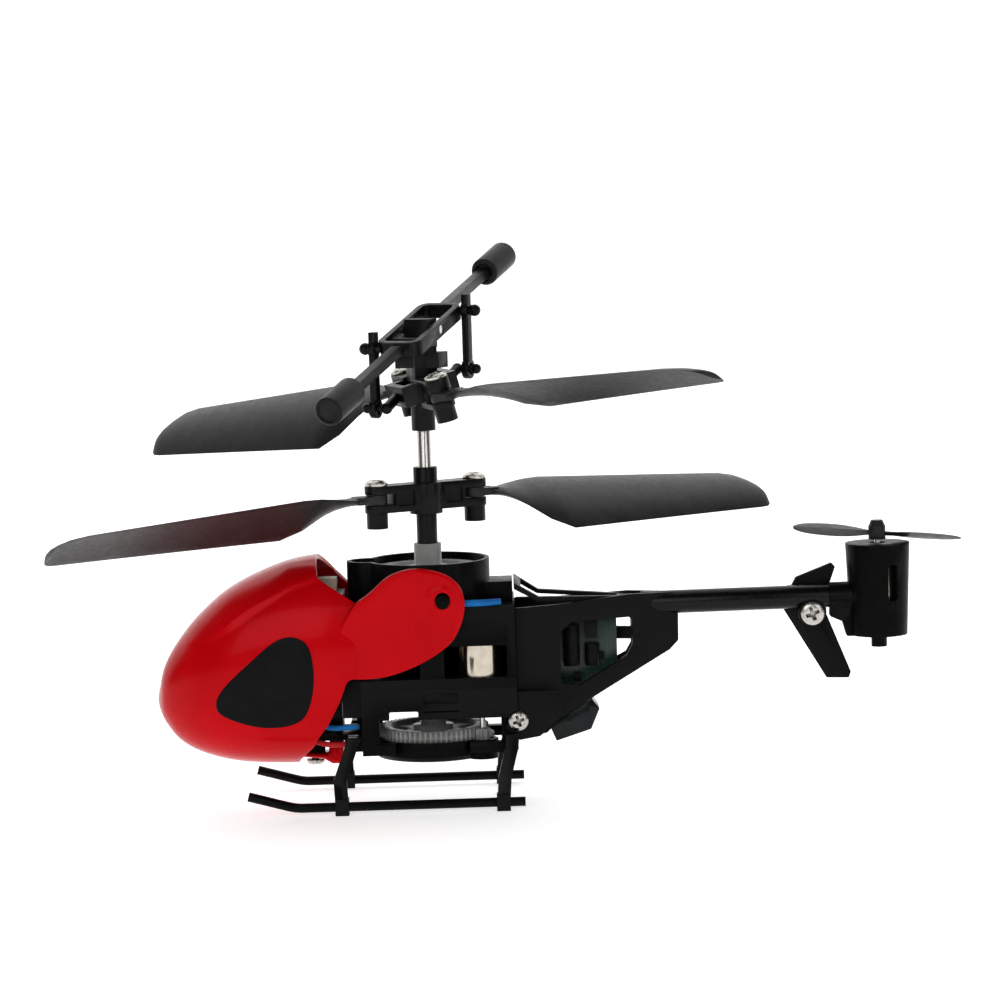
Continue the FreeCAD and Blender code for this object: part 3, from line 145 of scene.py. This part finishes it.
def moulded_plastic(name, dark, light, rough, grain=9.0, texture=0.05, specular=0.08, wear=None):
    """Injection-moulded plastic: fine spark-eroded grain, slight flow mottling and worn edges."""
    material, tree, shader = new_material(name)
    where = position(tree)
    mottle = noise(tree, where, 0.35, 3.0)
    colour = ramp(tree, mottle, dark, light, 0.35, 0.7)
    if wear is not None:
        colour = mixed(tree, worn_edges(tree, WEAR_START, WEAR_END), colour, wear)
    tree.links.new(colour, shader.inputs["Base Color"])
    smear = noise(tree, where, 1.1, 5.0, 0.6)
    tree.links.new(ramp(tree, smear, rough[0], rough[1], 0.3, 0.75), shader.inputs["Roughness"])
    bump(tree, shader, noise(tree, where, grain, 2.0), texture, FINE_RELIEF)
    shader.inputs["Specular IOR Level"].default_value = specular
    return material


def metal(name, dark, light, rough, brush=(1000.0, 1000.0, 60.0), texture=0.06):
    """Plated or ground metal with brush marks along one direction and handling smears."""
    material, tree, shader = new_material(name)
    shader.inputs["Metallic"].default_value = 1.0
    marks = noise(tree, position(tree, brush), 3.0, 6.0, 0.7)
    smear = noise(tree, position(tree), 0.8, 3.0)
    tree.links.new(ramp(tree, smear, dark, light), shader.inputs["Base Color"])
    tree.links.new(ramp(tree, marks, rough[0], rough[1], 0.3, 0.7), shader.inputs["Roughness"])
    bump(tree, shader, marks, texture, BRUSH_RELIEF)
    return material


RECESS_REACH = 0.0009
# Colour of the painted shade in the screw's cross recess.
RECESS_PAINTED_SHADE = (0.02, 0.018, 0.015)
EVEN_BRUSH = (1000.0, 1000.0, 1000.0)


def plated_screw():
    """Nickel plating, with painted shade darkening it down in the cross recess."""
    material = metal("screw_steel", (0.46, 0.44, 0.41), (0.6, 0.58, 0.54), (0.2, 0.3), EVEN_BRUSH, 0.01)
    tree = material.node_tree
    shader = tree.nodes["Principled BSDF"]
    bright = shader.inputs["Base Color"].links[0].from_socket
    # Painted shade: ambient occlusion blends the plating colour towards a near-black shade colour inside the
    # cross recess.
    recess = tree.nodes.new("ShaderNodeAmbientOcclusion")
    recess.inputs["Distance"].default_value = RECESS_REACH
    recess.samples = 8
    shade = ramp(tree, recess.outputs["AO"], 0.0, 1.0, 0.45, 0.8)
    tree.links.new(mixed(tree, shade, RECESS_PAINTED_SHADE, bright), shader.inputs["Base Color"])
    return material


def canopy_paint():
    """Glossy red moulding: deep red with a red-tinted shine and a little orange peel."""
    material, tree, shader = new_material("canopy_gloss")
    where = position(tree)
    tone = noise(tree, where, 0.12, 3.0)
    colour = ramp(tree, tone, (0.5, 0.0006, 0.003), (0.58, 0.001, 0.0045), 0.35, 0.7)
    tree.links.new(colour, shader.inputs["Base Color"])
    smear = noise(tree, where, 0.5, 6.0, 0.62)
    tree.links.new(ramp(tree, smear, 0.2, 0.3, 0.3, 0.8), shader.inputs["Roughness"])
    bump(tree, shader, noise(tree, where, 0.9, 2.0), 0.04, PEEL_RELIEF)
    shader.inputs["Specular IOR Level"].default_value = 0.3
    shader.inputs["Specular Tint"].default_value = (1.0, 0.12, 0.16, 1.0)
    shader.inputs["Coat Weight"].default_value = 0.04
    shader.inputs["Coat Roughness"].default_value = 0.08
    return material


def nylon(name, colour, deep, glow, rough):
    """Natural nylon, slightly translucent."""
    material, tree, shader = new_material(name)
    where = position(tree)
    tree.links.new(ramp(tree, noise(tree, where, 0.5, 4.0), deep, colour), shader.inputs["Base Color"])
    tree.links.new(ramp(tree, noise(tree, where, 2.0, 4.0), rough[0], rough[1]), shader.inputs["Roughness"])
    bump(tree, shader, noise(tree, where, 6.0, 2.0), 0.05, FINE_RELIEF)
    shader.inputs["Subsurface Weight"].default_value = glow
    shader.inputs["Subsurface Radius"].default_value = (0.0012, 0.0012, 0.0012)
    shader.inputs["Subsurface Scale"].default_value = 0.6
    return material


def board_mask():
    """Solder mask with copper tracks showing through as paler lines."""
    material, tree, shader = new_material("board_green")
    where = position(tree)
    brick = tree.nodes.new("ShaderNodeTexBrick")
    brick.inputs["Scale"].default_value = 0.55
    brick.inputs["Mortar Size"].default_value = 0.05
    brick.inputs["Color1"].default_value = (0.0015, 0.012, 0.006, 1)
    brick.inputs["Color2"].default_value = (0.002, 0.016, 0.008, 1)
    brick.inputs["Mortar"].default_value = (0.004, 0.03, 0.015, 1)
    turn = tree.nodes.new("ShaderNodeMapping")
    turn.inputs["Rotation"].default_value = (math.radians(90), 0, math.radians(45))
    tree.links.new(where, turn.inputs["Vector"])
    tree.links.new(turn.outputs["Vector"], brick.inputs["Vector"])
    tree.links.new(brick.outputs["Color"], shader.inputs["Base Color"])
    tree.links.new(ramp(tree, noise(tree, where, 1.5), 0.25, 0.4), shader.inputs["Roughness"])
    bump(tree, shader, brick.outputs["Fac"], 0.2, TRACK_RELIEF)
    return material


BLACK = (0.0016, 0.0016, 0.0017)
GREY_BLACK = (0.003, 0.003, 0.0032)
WINDOW_BLACK = (0.003, 0.003, 0.0035)
WINDOW_GREY = (0.005, 0.005, 0.0055)
PART_BLACK = (0.003, 0.003, 0.0035)
PART_GREY = (0.006, 0.006, 0.0065)
BLADE_DARK = (0.014, 0.014, 0.0143)
BLADE_LIGHT = (0.022, 0.022, 0.0225)
FRAME_WEAR = (0.008, 0.008, 0.008)
LEG_WEAR = (0.012, 0.012, 0.012)
ROTOR_WEAR = (0.014, 0.014, 0.014)
CAN_BRUSH = (40.0, 40.0, 1000.0)
SHAFT_BRUSH = (60.0, 60.0, 1000.0)

materials = {
    "canopy_gloss": canopy_paint(),
    "window_tint": moulded_plastic("window_tint", WINDOW_BLACK, WINDOW_GREY, (0.3, 0.42), 5.0),
    "screw_steel": plated_screw(),
    "frame_plastic": moulded_plastic(
        "frame_plastic", BLACK, GREY_BLACK, (0.28, 0.46), specular=0.045, wear=FRAME_WEAR),
    "battery_wrap": moulded_plastic(
        "battery_wrap", (0.003, 0.003, 0.0033), (0.006, 0.006, 0.0065), (0.25, 0.4)),
    "connector_nylon": moulded_plastic(
        "connector_nylon", (0.3, 0.25, 0.18), (0.5, 0.45, 0.36), (0.4, 0.55)),
    "board_green": board_mask(),
    "component_black": moulded_plastic("component_black", PART_BLACK, PART_GREY, (0.3, 0.5)),
    "receiver_tint": moulded_plastic(
        "receiver_tint", (0.002, 0.004, 0.0048), (0.004, 0.007, 0.008), (0.16, 0.24), 5.0, 0.03, 0.22),
    "switch_metal": metal("switch_metal", (0.5, 0.5, 0.5), (0.7, 0.7, 0.7), (0.25, 0.4)),
    "lead_blue": moulded_plastic("lead_blue", (0.01, 0.12, 0.38), (0.015, 0.2, 0.55), (0.3, 0.42)),
    "lead_red": moulded_plastic("lead_red", (0.4, 0.01, 0.015), (0.6, 0.02, 0.025), (0.3, 0.42)),
    "motor_nickel": metal(
        "motor_nickel", (0.52, 0.46, 0.38), (0.62, 0.56, 0.47), (0.14, 0.22), CAN_BRUSH, 0.01),
    "shaft_steel": metal(
        "shaft_steel", (0.62, 0.6, 0.57), (0.7, 0.68, 0.65), (0.2, 0.26), SHAFT_BRUSH, 0.01),
    "boom_black": moulded_plastic("boom_black", BLACK, GREY_BLACK, (0.22, 0.34), specular=0.18),
    "bearing_bronze": metal("bearing_bronze", (0.42, 0.28, 0.13), (0.6, 0.42, 0.22), (0.3, 0.45)),
    "gear_leg_plastic": moulded_plastic(
        "gear_leg_plastic", BLACK, GREY_BLACK, (0.26, 0.4), wear=LEG_WEAR),
    "gear_nylon": nylon("gear_nylon", (0.4, 0.4, 0.39), (0.32, 0.32, 0.315), 0.25, (0.35, 0.5)),
    "gear_nylon_clear": nylon(
        "gear_nylon_clear", (0.34, 0.34, 0.335), (0.26, 0.26, 0.255), 0.35, (0.3, 0.45)),
    "pinion_plastic": nylon("pinion_plastic", (0.3, 0.3, 0.3), (0.22, 0.22, 0.22), 0.1, (0.35, 0.5)),
    "rotor_plastic": moulded_plastic(
        "rotor_plastic", BLACK, GREY_BLACK, (0.26, 0.42), wear=ROTOR_WEAR, specular=0.14),
    "blade_plastic": moulded_plastic(
        "blade_plastic", BLADE_DARK, BLADE_LIGHT, (0.32, 0.46), 7.0, 0.03, 0.2),
    "weight_plastic": moulded_plastic(
        "weight_plastic", (0.014, 0.014, 0.014), (0.022, 0.022, 0.022), (0.3, 0.44)),
}
slot_of = {part["node"]: part["material_slot"] for part in frame["record"]["subparts"]}


CAD_EDGE = 0.07
BEVEL_FROM = math.radians(32)
SHARP_FROM = math.radians(30)
UNBEVELLED = ("canopy", "canopy_windows", "upper_drive_gear", "lower_drive_gear")


def finish_cad_node(node, bevel):
    """Give a CAD node its material, welded smooth faces and small moulded edge radii."""
    obj = nodes[node]
    obj.data.materials.clear()
    obj.data.materials.append(materials[slot_of[node]])
    weld = obj.modifiers.new("weld", "WELD")
    weld.merge_threshold = WELD_GAP
    if bevel > 0:
        edge = obj.modifiers.new("edge", "BEVEL")
        edge.width = bevel * MM
        edge.segments = 2
        edge.limit_method = "ANGLE"
        edge.angle_limit = BEVEL_FROM


for name in nodes:
    finish_cad_node(name, 0.0 if name in UNBEVELLED else CAD_EDGE)
    for polygon in nodes[name].data.polygons:
        polygon.use_smooth = True
    nodes[name].data.set_sharp_from_angle(angle=SHARP_FROM)

# ---- canopy ----
# Section heights and half widths of the canopy along its length, in millimetres.
CANOPY_X = (7.0, 12.0, 16.0, 21.2, 28.4, 33.6, 37.0, 39.1, 40.0, 40.25)
CANOPY_TOP = (36.2, 36.4, 36.35, 35.4, 32.3, 28.45, 24.6, 21.0, 17.6, 16.3)
CANOPY_BOTTOM = (6.7, 6.6, 6.45, 6.2, 6.65, 8.0, 9.9, 12.5, 14.5, 15.8)
CANOPY_HALF = (10.3, 10.5, 10.6, 10.4, 9.2, 7.4, 5.3, 3.3, 1.2, 0.12)
CANOPY_POWER = 2.35
# Rear edge: how far forward it lies at each height.
REAR_EDGE_Z = (6.8, 9.4, 10.65, 12.95, 16.2, 19.3, 19.9, 29.9, 30.4, 31.8, 33.95, 36.65)
REAR_EDGE_X = (19.7, 17.25, 16.6, 14.9, 13.2, 12.0, 10.6, 10.4, 10.5, 12.7, 15.95, 16.35)
REAR_EDGE_X_STARBOARD = (19.7, 17.25, 16.6, 14.9, 13.2, 12.0, 10.6, 10.4, 10.5, 12.3, 14.2, 16.35)
# Raised band along the spine: half width at stations along the length.
BAND_X = (7.0, 15.3, 19.1, 22.3, 25.8, 28.8, 31.7, 36.0, 40.3)
BAND_HALF = (6.9, 7.1, 7.6, 8.0, 8.05, 8.0, 7.4, 4.6, 0.6)
BAND_HEIGHT = 0.34
BAND_SLOPE = 0.55
BAND_FADE_START = 29.0
BAND_FADE_LENGTH = 8.0
SHELL_WALL = 0.75
SHELL_EDGE = 0.12
SHELL_SHARP = math.radians(50)
ANGLES = 192
ROWS = 84
EAR_Y = (9.3, 10.5)
EAR_SINK = 0.3
EAR_HOLE = (-2.08, 30.66)
EAR_HOLE_R = 1.05
# Raised collar: distance outside the hole's edge, and height over the ear's face.
EAR_COLLAR = ((0.0, 0.06), (0.12, 0.15), (0.6, 0.15), (0.8, 0.09), (0.95, 0.0))
# Rounded rim: distance inside the outline, and drop below the ear's face.
EAR_RIM = ((0.55, 0.0), (0.38, 0.02), (0.22, 0.08), (0.1, 0.19), (0.03, 0.34), (0.0, 0.52))
# The front lower corner sinks towards the shell from this length position and below this height.
EAR_SINK_X = 8.5
EAR_SINK_Z = 29.5
EAR_SINK_RUN = 4.0
EAR_OUTLINE = (
    (10.45, 30.5), (8.5, 31.9), (5.9, 34.1), (3.3, 35.1), (0.7, 35.2), (-2.4, 34.4), (-4.4, 32.8),
    (-5.2, 30.7), (-5.15, 28.6), (-4.4, 26.3), (-3.1, 24.3), (-0.4, 22.3), (3.2, 20.6), (6.9, 19.6),
    (11.0, 19.4), (12.0, 19.8), (12.9, 22.8), (13.2, 25.0), (12.8, 26.9), (11.7, 28.9),
)
WINDOW_OUTLINE = (
    (19.5, 25.9), (17.3, 24.2), (16.8, 19.2), (18.1, 14.5), (20.9, 12.8), (25.4, 12.75), (30.2, 14.4),
    (31.2, 16.3), (29.8, 18.8), (25.8, 22.5), (22.3, 25.3),
)
PANEL_LIFT = 0.09
# Window panel rings: share of the outline, and lift over the skin.
PANEL_RINGS = (
    (0.12, PANEL_LIFT), (0.3, PANEL_LIFT), (0.5, PANEL_LIFT), (0.7, PANEL_LIFT), (0.86, PANEL_LIFT),
    (0.955, PANEL_LIFT), (0.975, 0.085), (0.988, 0.06), (0.996, 0.0), (1.0, -0.3),
)
CHIN_PROFILE = [
    (20.4, 7.2), (16.2, 6.75), (15.5, 6.3), (14.9, 5.95), (13.6, 5.95), (13.3, 6.3), (13.3, 9.0),
    (13.55, 9.25), (15.1, 9.25), (15.35, 9.0), (15.4, 7.6), (15.7, 7.4), (20.4, 7.75),
]
CHIN_HALF = 2.2
CHIN_ROUND = 0.25


def lerp_table(at, xs, values):
    """Straight-line value between the table's stations, level beyond its ends."""
    if at <= xs[0]:
        return values[0]
    for x0, x1, v0, v1 in zip(xs, xs[1:], values, values[1:]):
        if at <= x1:
            return v0 + (v1 - v0) * (at - x0) / (x1 - x0)
    return values[-1]


CHORD_POWER = 0.75


def chord_steps(rows):
    """Running sum of the chords raised to a power, the parameter of the smooth curves."""
    total = [0.0]
    for before, after in zip(rows, rows[1:]):
        total.append(total[-1] + math.dist(before, after) ** CHORD_POWER)
    return total


CANOPY_ROWS = list(zip(CANOPY_X, CANOPY_TOP, CANOPY_BOTTOM, CANOPY_HALF))
CANOPY_STEPS = chord_steps(CANOPY_ROWS)


def canopy_row(s):
    """Length position, top, bottom and half width at parameter s, by a smooth cubic curve."""
    last = len(CANOPY_STEPS) - 1
    i = min(max(sum(1 for step in CANOPY_STEPS if step <= s) - 1, 0), last - 1)

    def slope(k):
        low, high = max(k - 1, 0), min(k + 1, last)
        span = CANOPY_STEPS[high] - CANOPY_STEPS[low]
        return [(b - a) / span for a, b in zip(CANOPY_ROWS[low], CANOPY_ROWS[high])]

    span = CANOPY_STEPS[i + 1] - CANOPY_STEPS[i]
    u = (s - CANOPY_STEPS[i]) / span
    weights = (2 * u ** 3 - 3 * u ** 2 + 1, u ** 3 - 2 * u ** 2 + u, 3 * u ** 2 - 2 * u ** 3, u ** 3 - u ** 2)
    rows = zip(CANOPY_ROWS[i], slope(i), CANOPY_ROWS[i + 1], slope(i + 1))
    return [weights[0] * a + weights[1] * ta * span + weights[2] * b + weights[3] * tb * span
            for a, ta, b, tb in rows]


def smoothstep(value):
    value = min(max(value, 0.0), 1.0)
    return value * value * (3 - 2 * value)


def signed_power(value, power):
    return math.copysign(abs(value) ** power, value)


def canopy_point(s, angle, lift=0.0):
    """Point of the outer skin; the spine band stands a little proud of it."""
    x, top, bottom, half = canopy_row(s)
    middle, height = (top + bottom) / 2, max((top - bottom) / 2, 0.05)
    across = signed_power(math.cos(angle), 2 / CANOPY_POWER)
    rise = signed_power(math.sin(angle), 2 / CANOPY_POWER)
    y, z = half * across, height * rise
    if rise > 0:
        fade = 1 - smoothstep((x - BAND_FADE_START) / BAND_FADE_LENGTH)
        lift += BAND_HEIGHT * fade * smoothstep((lerp_table(x, BAND_X, BAND_HALF) - abs(y)) / BAND_SLOPE)
    out_y = signed_power(across, CANOPY_POWER - 1) / half
    out_z = signed_power(rise, CANOPY_POWER - 1) / height
    size = math.hypot(out_y, out_z)
    return x, y + lift * out_y / size, middle + z + lift * out_z / size


def solve(function, low, high):
    """Where a rising function crosses zero."""
    for _ in range(40):
        middle = (low + high) / 2
        if function(middle) < 0:
            low = middle
        else:
            high = middle
    return (low + high) / 2


def smooth_loop(points, count):
    """Points along a closed smooth curve through the corner points."""
    loop = []
    total = len(points)
    each = count // total
    for i in range(total):
        a, b, c, d = (points[(i + k) % total] for k in (-1, 0, 1, 2))
        for j in range(each):
            u = j / each
            loop.append(tuple(
                0.5 * (2 * q + (r - p) * u + (2 * p - 5 * q + 4 * r - w) * u * u
                       + (3 * q - p - 3 * r + w) * u ** 3)
                for p, q, r, w in zip(a, b, c, d)
            ))
    return loop


def mesh_object(name, points, faces, slot_name, stands_for=(), body="airframe"):
    """A smooth-shaded piece that rides on a body; points are in millimetres from the shaft."""
    mesh = bpy.data.meshes.new(name)
    mesh.from_pydata([place(*point) for point in points], [], faces)
    mesh.materials.append(materials[slot_name])
    tidy = bmesh.new()
    tidy.from_mesh(mesh)
    bmesh.ops.remove_doubles(tidy, verts=tidy.verts, dist=WELD_GAP)
    bmesh.ops.recalc_face_normals(tidy, faces=tidy.faces)
    tidy.to_mesh(mesh)
    tidy.free()
    for polygon in mesh.polygons:
        polygon.use_smooth = True
    obj = bpy.data.objects.new(name, mesh)
    bpy.context.scene.collection.objects.link(obj)
    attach(obj, body)
    if stands_for:
        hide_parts(*stands_for)
    return obj


def canopy_skin():
    """Thin outer shell from the V-shaped rear edge to the nose."""
    points, faces = [], []
    end = CANOPY_STEPS[-1]
    for i in range(ANGLES):
        angle = 2 * math.pi * (i + 0.5) / ANGLES

        def past_edge(s):
            x, y, z = canopy_point(s, angle)
            return x - lerp_table(z, REAR_EDGE_Z, REAR_EDGE_X if y > 0 else REAR_EDGE_X_STARBOARD)

        start = solve(past_edge, 0.0, end * 0.6)
        for j in range(ROWS + 1):
            points.append(canopy_point(start + (end - start) * j / ROWS, angle))
    row = ROWS + 1
    for i in range(ANGLES):
        k = (i + 1) % ANGLES
        faces += [(i * row + j, k * row + j, k * row + j + 1, i * row + j + 1) for j in range(ROWS)]
    tip = len(points)
    points.append((CANOPY_X[-1] + 0.02, 0.0, (CANOPY_TOP[-1] + CANOPY_BOTTOM[-1]) / 2))
    faces += [(i * row + ROWS, ((i + 1) % ANGLES) * row + ROWS, tip) for i in range(ANGLES)]
    skin = mesh_object("canopy_skin", points, faces, "canopy_gloss", ("canopy",))
    wall = skin.modifiers.new("wall", "SOLIDIFY")
    wall.thickness = SHELL_WALL * MM
    wall.offset = -1.0
    wall.use_rim = True
    edge = skin.modifiers.new("edge", "BEVEL")
    edge.width = SHELL_EDGE * MM
    edge.segments = 2
    edge.limit_method = "ANGLE"
    edge.angle_limit = SHELL_SHARP


def skin_at(x, z, side, lift):
    """Point of the side of the skin above a length position and height."""
    s = solve(lambda value: canopy_row(value)[0] - x, 0.0, CANOPY_STEPS[-1])
    _, top, bottom, _ = canopy_row(s)
    rise = min(max((z - (top + bottom) / 2) / ((top - bottom) / 2), -0.999), 0.999)
    angle = math.asin(signed_power(rise, CANOPY_POWER / 2))
    px, py, pz = canopy_point(s, angle, lift)
    return px, side * py, pz


def canopy_window_panels():
    """Black side windows, set in the shell with a fine step round them."""
    points, faces = [], []
    loop = smooth_loop(WINDOW_OUTLINE, 176)
    cx = sum(x for x, _ in loop) / len(loop)
    cz = sum(z for _, z in loop) / len(loop)
    for side in (1, -1):
        base = len(points)
        for share, lift in PANEL_RINGS:
            points += [skin_at(cx + (x - cx) * share, cz + (z - cz) * share, side, lift) for x, z in loop]
        count = len(loop)
        for k in range(len(PANEL_RINGS) - 1):
            for i in range(count):
                j = (i + 1) % count
                faces.append((base + k * count + i, base + k * count + j,
                              base + (k + 1) * count + j, base + (k + 1) * count + i))
        hub = len(points)
        points.append(skin_at(cx, cz, side, PANEL_LIFT))
        faces += [(base + i, base + (i + 1) % count, hub) for i in range(count)]
    mesh_object("canopy_window_panels", points, faces, "window_tint", ("canopy_windows",))


def canopy_ears():
    """Side lobes that reach back over the housing's pegs, with a raised collar at the hole."""
    inner_y, outer_y = EAR_Y
    hx, hz = EAR_HOLE
    loop = smooth_loop(EAR_OUTLINE, 200)
    reach = [math.hypot(x - hx, z - hz) for x, z in loop]
    for side, word in ((1, "port"), (-1, "starboard")):
        points = []
        rings = []

        def ring(radius_of, y):
            rings.append(len(points))
            for (x, z), far in zip(loop, reach):
                r = radius_of(far)
                px, pz = hx + (x - hx) * r / far, hz + (z - hz) * r / far
                sink = (EAR_SINK * smoothstep((px - EAR_SINK_X) / EAR_SINK_RUN)
                        * smoothstep((EAR_SINK_Z - pz) / EAR_SINK_RUN))
                points.append((px, side * (y - sink), pz))

        ring(lambda far: EAR_HOLE_R, inner_y)
        for out, lift in EAR_COLLAR:
            ring(lambda far, out=out: EAR_HOLE_R + out, outer_y + lift)
        collar_r = EAR_HOLE_R + EAR_COLLAR[-1][0]
        flat_edge = EAR_RIM[0][0]
        for share in (0.2, 0.4, 0.6, 0.8):
            ring(lambda far, share=share: collar_r + (far - flat_edge - collar_r) * share, outer_y)
        for inset, drop in EAR_RIM:
            ring(lambda far, inset=inset: far - inset, outer_y - drop)
        ring(lambda far: far, inner_y)
        ring(lambda far: far - 0.5, inner_y)
        count = len(loop)
        faces = []
        pairs = list(zip(rings, rings[1:])) + [(rings[-1], rings[0])]
        for a, b in pairs:
            faces += [(a + i, a + (i + 1) % count, b + (i + 1) % count, b + i) for i in range(count)]
        mesh_object("canopy_ear_" + word, points, faces, "canopy_gloss")


def profile_normals(profile):
    """Outward directions at the corners of a closed profile."""
    area = sum(a[0] * b[1] - b[0] * a[1] for a, b in zip(profile, profile[1:] + profile[:1]))
    turn = 1.0 if area > 0 else -1.0
    normals = []
    for before, after in zip(profile[-1:] + profile[:-1], profile[1:] + profile[:1]):
        along = Vector((after[0] - before[0], after[1] - before[1])).normalized()
        normals.append((turn * along.y, -turn * along.x))
    return normals


def canopy_chin():
    """Bent tab that runs back from the shell's lower lip and turns up, with the screw under it."""
    levels = (
        (-CHIN_HALF, CHIN_ROUND), (-CHIN_HALF + CHIN_ROUND, 0.0),
        (CHIN_HALF - CHIN_ROUND, 0.0), (CHIN_HALF, CHIN_ROUND),
    )
    points = []
    for y, inset in levels:
        for (x, z), (nx, nz) in zip(CHIN_PROFILE, profile_normals(CHIN_PROFILE)):
            points.append((x - nx * inset, y, z - nz * inset))
    count = len(CHIN_PROFILE)
    faces = []
    for k in range(len(levels) - 1):
        for i in range(count):
            j = (i + 1) % count
            faces.append((k * count + i, k * count + j, (k + 1) * count + j, (k + 1) * count + i))
    faces.append(tuple(range(count)))
    faces.append(tuple((len(levels) - 1) * count + i for i in range(count)))
    chin = mesh_object("canopy_chin", points, faces, "canopy_gloss")
    chin.data.set_sharp_from_angle(angle=SHELL_SHARP)


canopy_skin()
canopy_window_panels()
canopy_ears()
canopy_chin()

# ---- stage ----
# Metres; the sweep is the curve from floor to wall, and the glow is emission strength.
FLOOR_HALF = 5.0
SWEEP_START = -0.5
SWEEP_RADIUS = 0.45
WALL_TOP = 1.6
FLOOR_GLOW = 0.62
WALL_GLOW = 0.9
GLOW_LOW = 0.02
GLOW_HIGH = 0.5


def backdrop():
    """Pale floor that sweeps up into a wall behind the model."""
    profile = [(FLOOR_HALF, 0.0), (SWEEP_START, 0.0)]
    for i in range(1, 17):
        a = math.radians(90 * i / 16)
        profile.append((SWEEP_START - SWEEP_RADIUS * math.sin(a), SWEEP_RADIUS * (1 - math.cos(a))))
    profile.append((SWEEP_START - SWEEP_RADIUS, WALL_TOP))
    mesh = bpy.data.meshes.new("backdrop")
    vertices = [(x, y, z) for y, z in profile for x in (-FLOOR_HALF, FLOOR_HALF)]
    faces = [(2 * i, 2 * i + 1, 2 * i + 3, 2 * i + 2) for i in range(len(profile) - 1)]
    mesh.from_pydata(vertices, [], faces)
    for polygon in mesh.polygons:
        polygon.use_smooth = True
    obj = bpy.data.objects.new("backdrop", mesh)
    bpy.context.scene.collection.objects.link(obj)
    material, tree, shader = new_material("backdrop_paper")
    shader.inputs["Base Color"].default_value = (0.9, 0.9, 0.9, 1.0)
    shader.inputs["Roughness"].default_value = 0.6
    shader.inputs["Specular IOR Level"].default_value = 0.2
    shader.inputs["Emission Color"].default_value = (1.0, 1.0, 1.0, 1.0)
    where = tree.nodes.new("ShaderNodeTexCoord")
    split = tree.nodes.new("ShaderNodeSeparateXYZ")
    tree.links.new(where.outputs["Object"], split.inputs["Vector"])
    glow = tree.nodes.new("ShaderNodeMapRange")
    glow.inputs["From Min"].default_value = GLOW_LOW
    glow.inputs["From Max"].default_value = GLOW_HIGH
    glow.inputs["To Min"].default_value = FLOOR_GLOW
    glow.inputs["To Max"].default_value = WALL_GLOW
    tree.links.new(split.outputs["Z"], glow.inputs["Value"])
    tree.links.new(glow.outputs["Result"], shader.inputs["Emission Strength"])
    mesh.materials.append(material)


backdrop()


def area_light(name, at, target, size, power):
    data = bpy.data.lights.new(name, "AREA")
    data.shape = "RECTANGLE"
    data.size, data.size_y = size
    data.energy = power
    obj = bpy.data.objects.new(name, data)
    obj.location = at
    obj.rotation_euler = (Vector(target) - Vector(at)).to_track_quat("-Z", "Y").to_euler()
    bpy.context.scene.collection.objects.link(obj)


AIM = (0.0, 0.0, 0.03)
area_light("top_box", (0.0, -0.25, 0.8), AIM, (1.0, 0.6), 2.0)
area_light("key_box", (0.45, 1.15, 0.55), AIM, (0.9, 0.7), 4.2)
area_light("fill_box", (-0.7, 1.0, 0.45), AIM, (0.7, 0.7), 2.4)

world = bpy.data.worlds.new("studio")
world.use_nodes = True
world.node_tree.nodes["Background"].inputs["Color"].default_value = (1.0, 1.0, 1.0, 1.0)
world.node_tree.nodes["Background"].inputs["Strength"].default_value = 0.06
bpy.context.scene.world = world
bpy.context.scene.view_settings.view_transform = "Standard"

# ---- camera ----
# The lens is in millimetres on the sensor; the offsets move the camera across its own view.
ELEVATION = math.radians(5.7)
ROLL = math.radians(1.8)
DISTANCE = 541.7 * MM
SENSOR = 36.0
LENS = 133.2
ANCHOR_Z = 35.9
SIDEWAYS = 10.556 * MM
RAISED = 8.199 * MM


def studio_camera():
    """Long lens from the port side, a little above, rolled slightly."""
    back = Vector((0.0, math.cos(ELEVATION), math.sin(ELEVATION)))
    level = Vector((-1.0, 0.0, 0.0))
    rise = Vector((0.0, -math.sin(ELEVATION), math.cos(ELEVATION)))
    right = level * math.cos(ROLL) - rise * math.sin(ROLL)
    up = level * math.sin(ROLL) + rise * math.cos(ROLL)
    at = place(0, 0, ANCHOR_Z) + back * DISTANCE + right * SIDEWAYS + up * RAISED
    data = bpy.data.cameras.new("camera")
    data.lens = LENS
    data.sensor_width = SENSOR
    data.clip_start = 0.01
    camera = bpy.data.objects.new("camera", data)
    camera.matrix_world = Matrix((
        (right.x, up.x, back.x, at.x),
        (right.y, up.y, back.y, at.y),
        (right.z, up.z, back.z, at.z),
        (0, 0, 0, 1),
    ))
    bpy.context.scene.collection.objects.link(camera)
    bpy.context.scene.camera = camera


studio_camera()

bpy.context.view_layer.update()
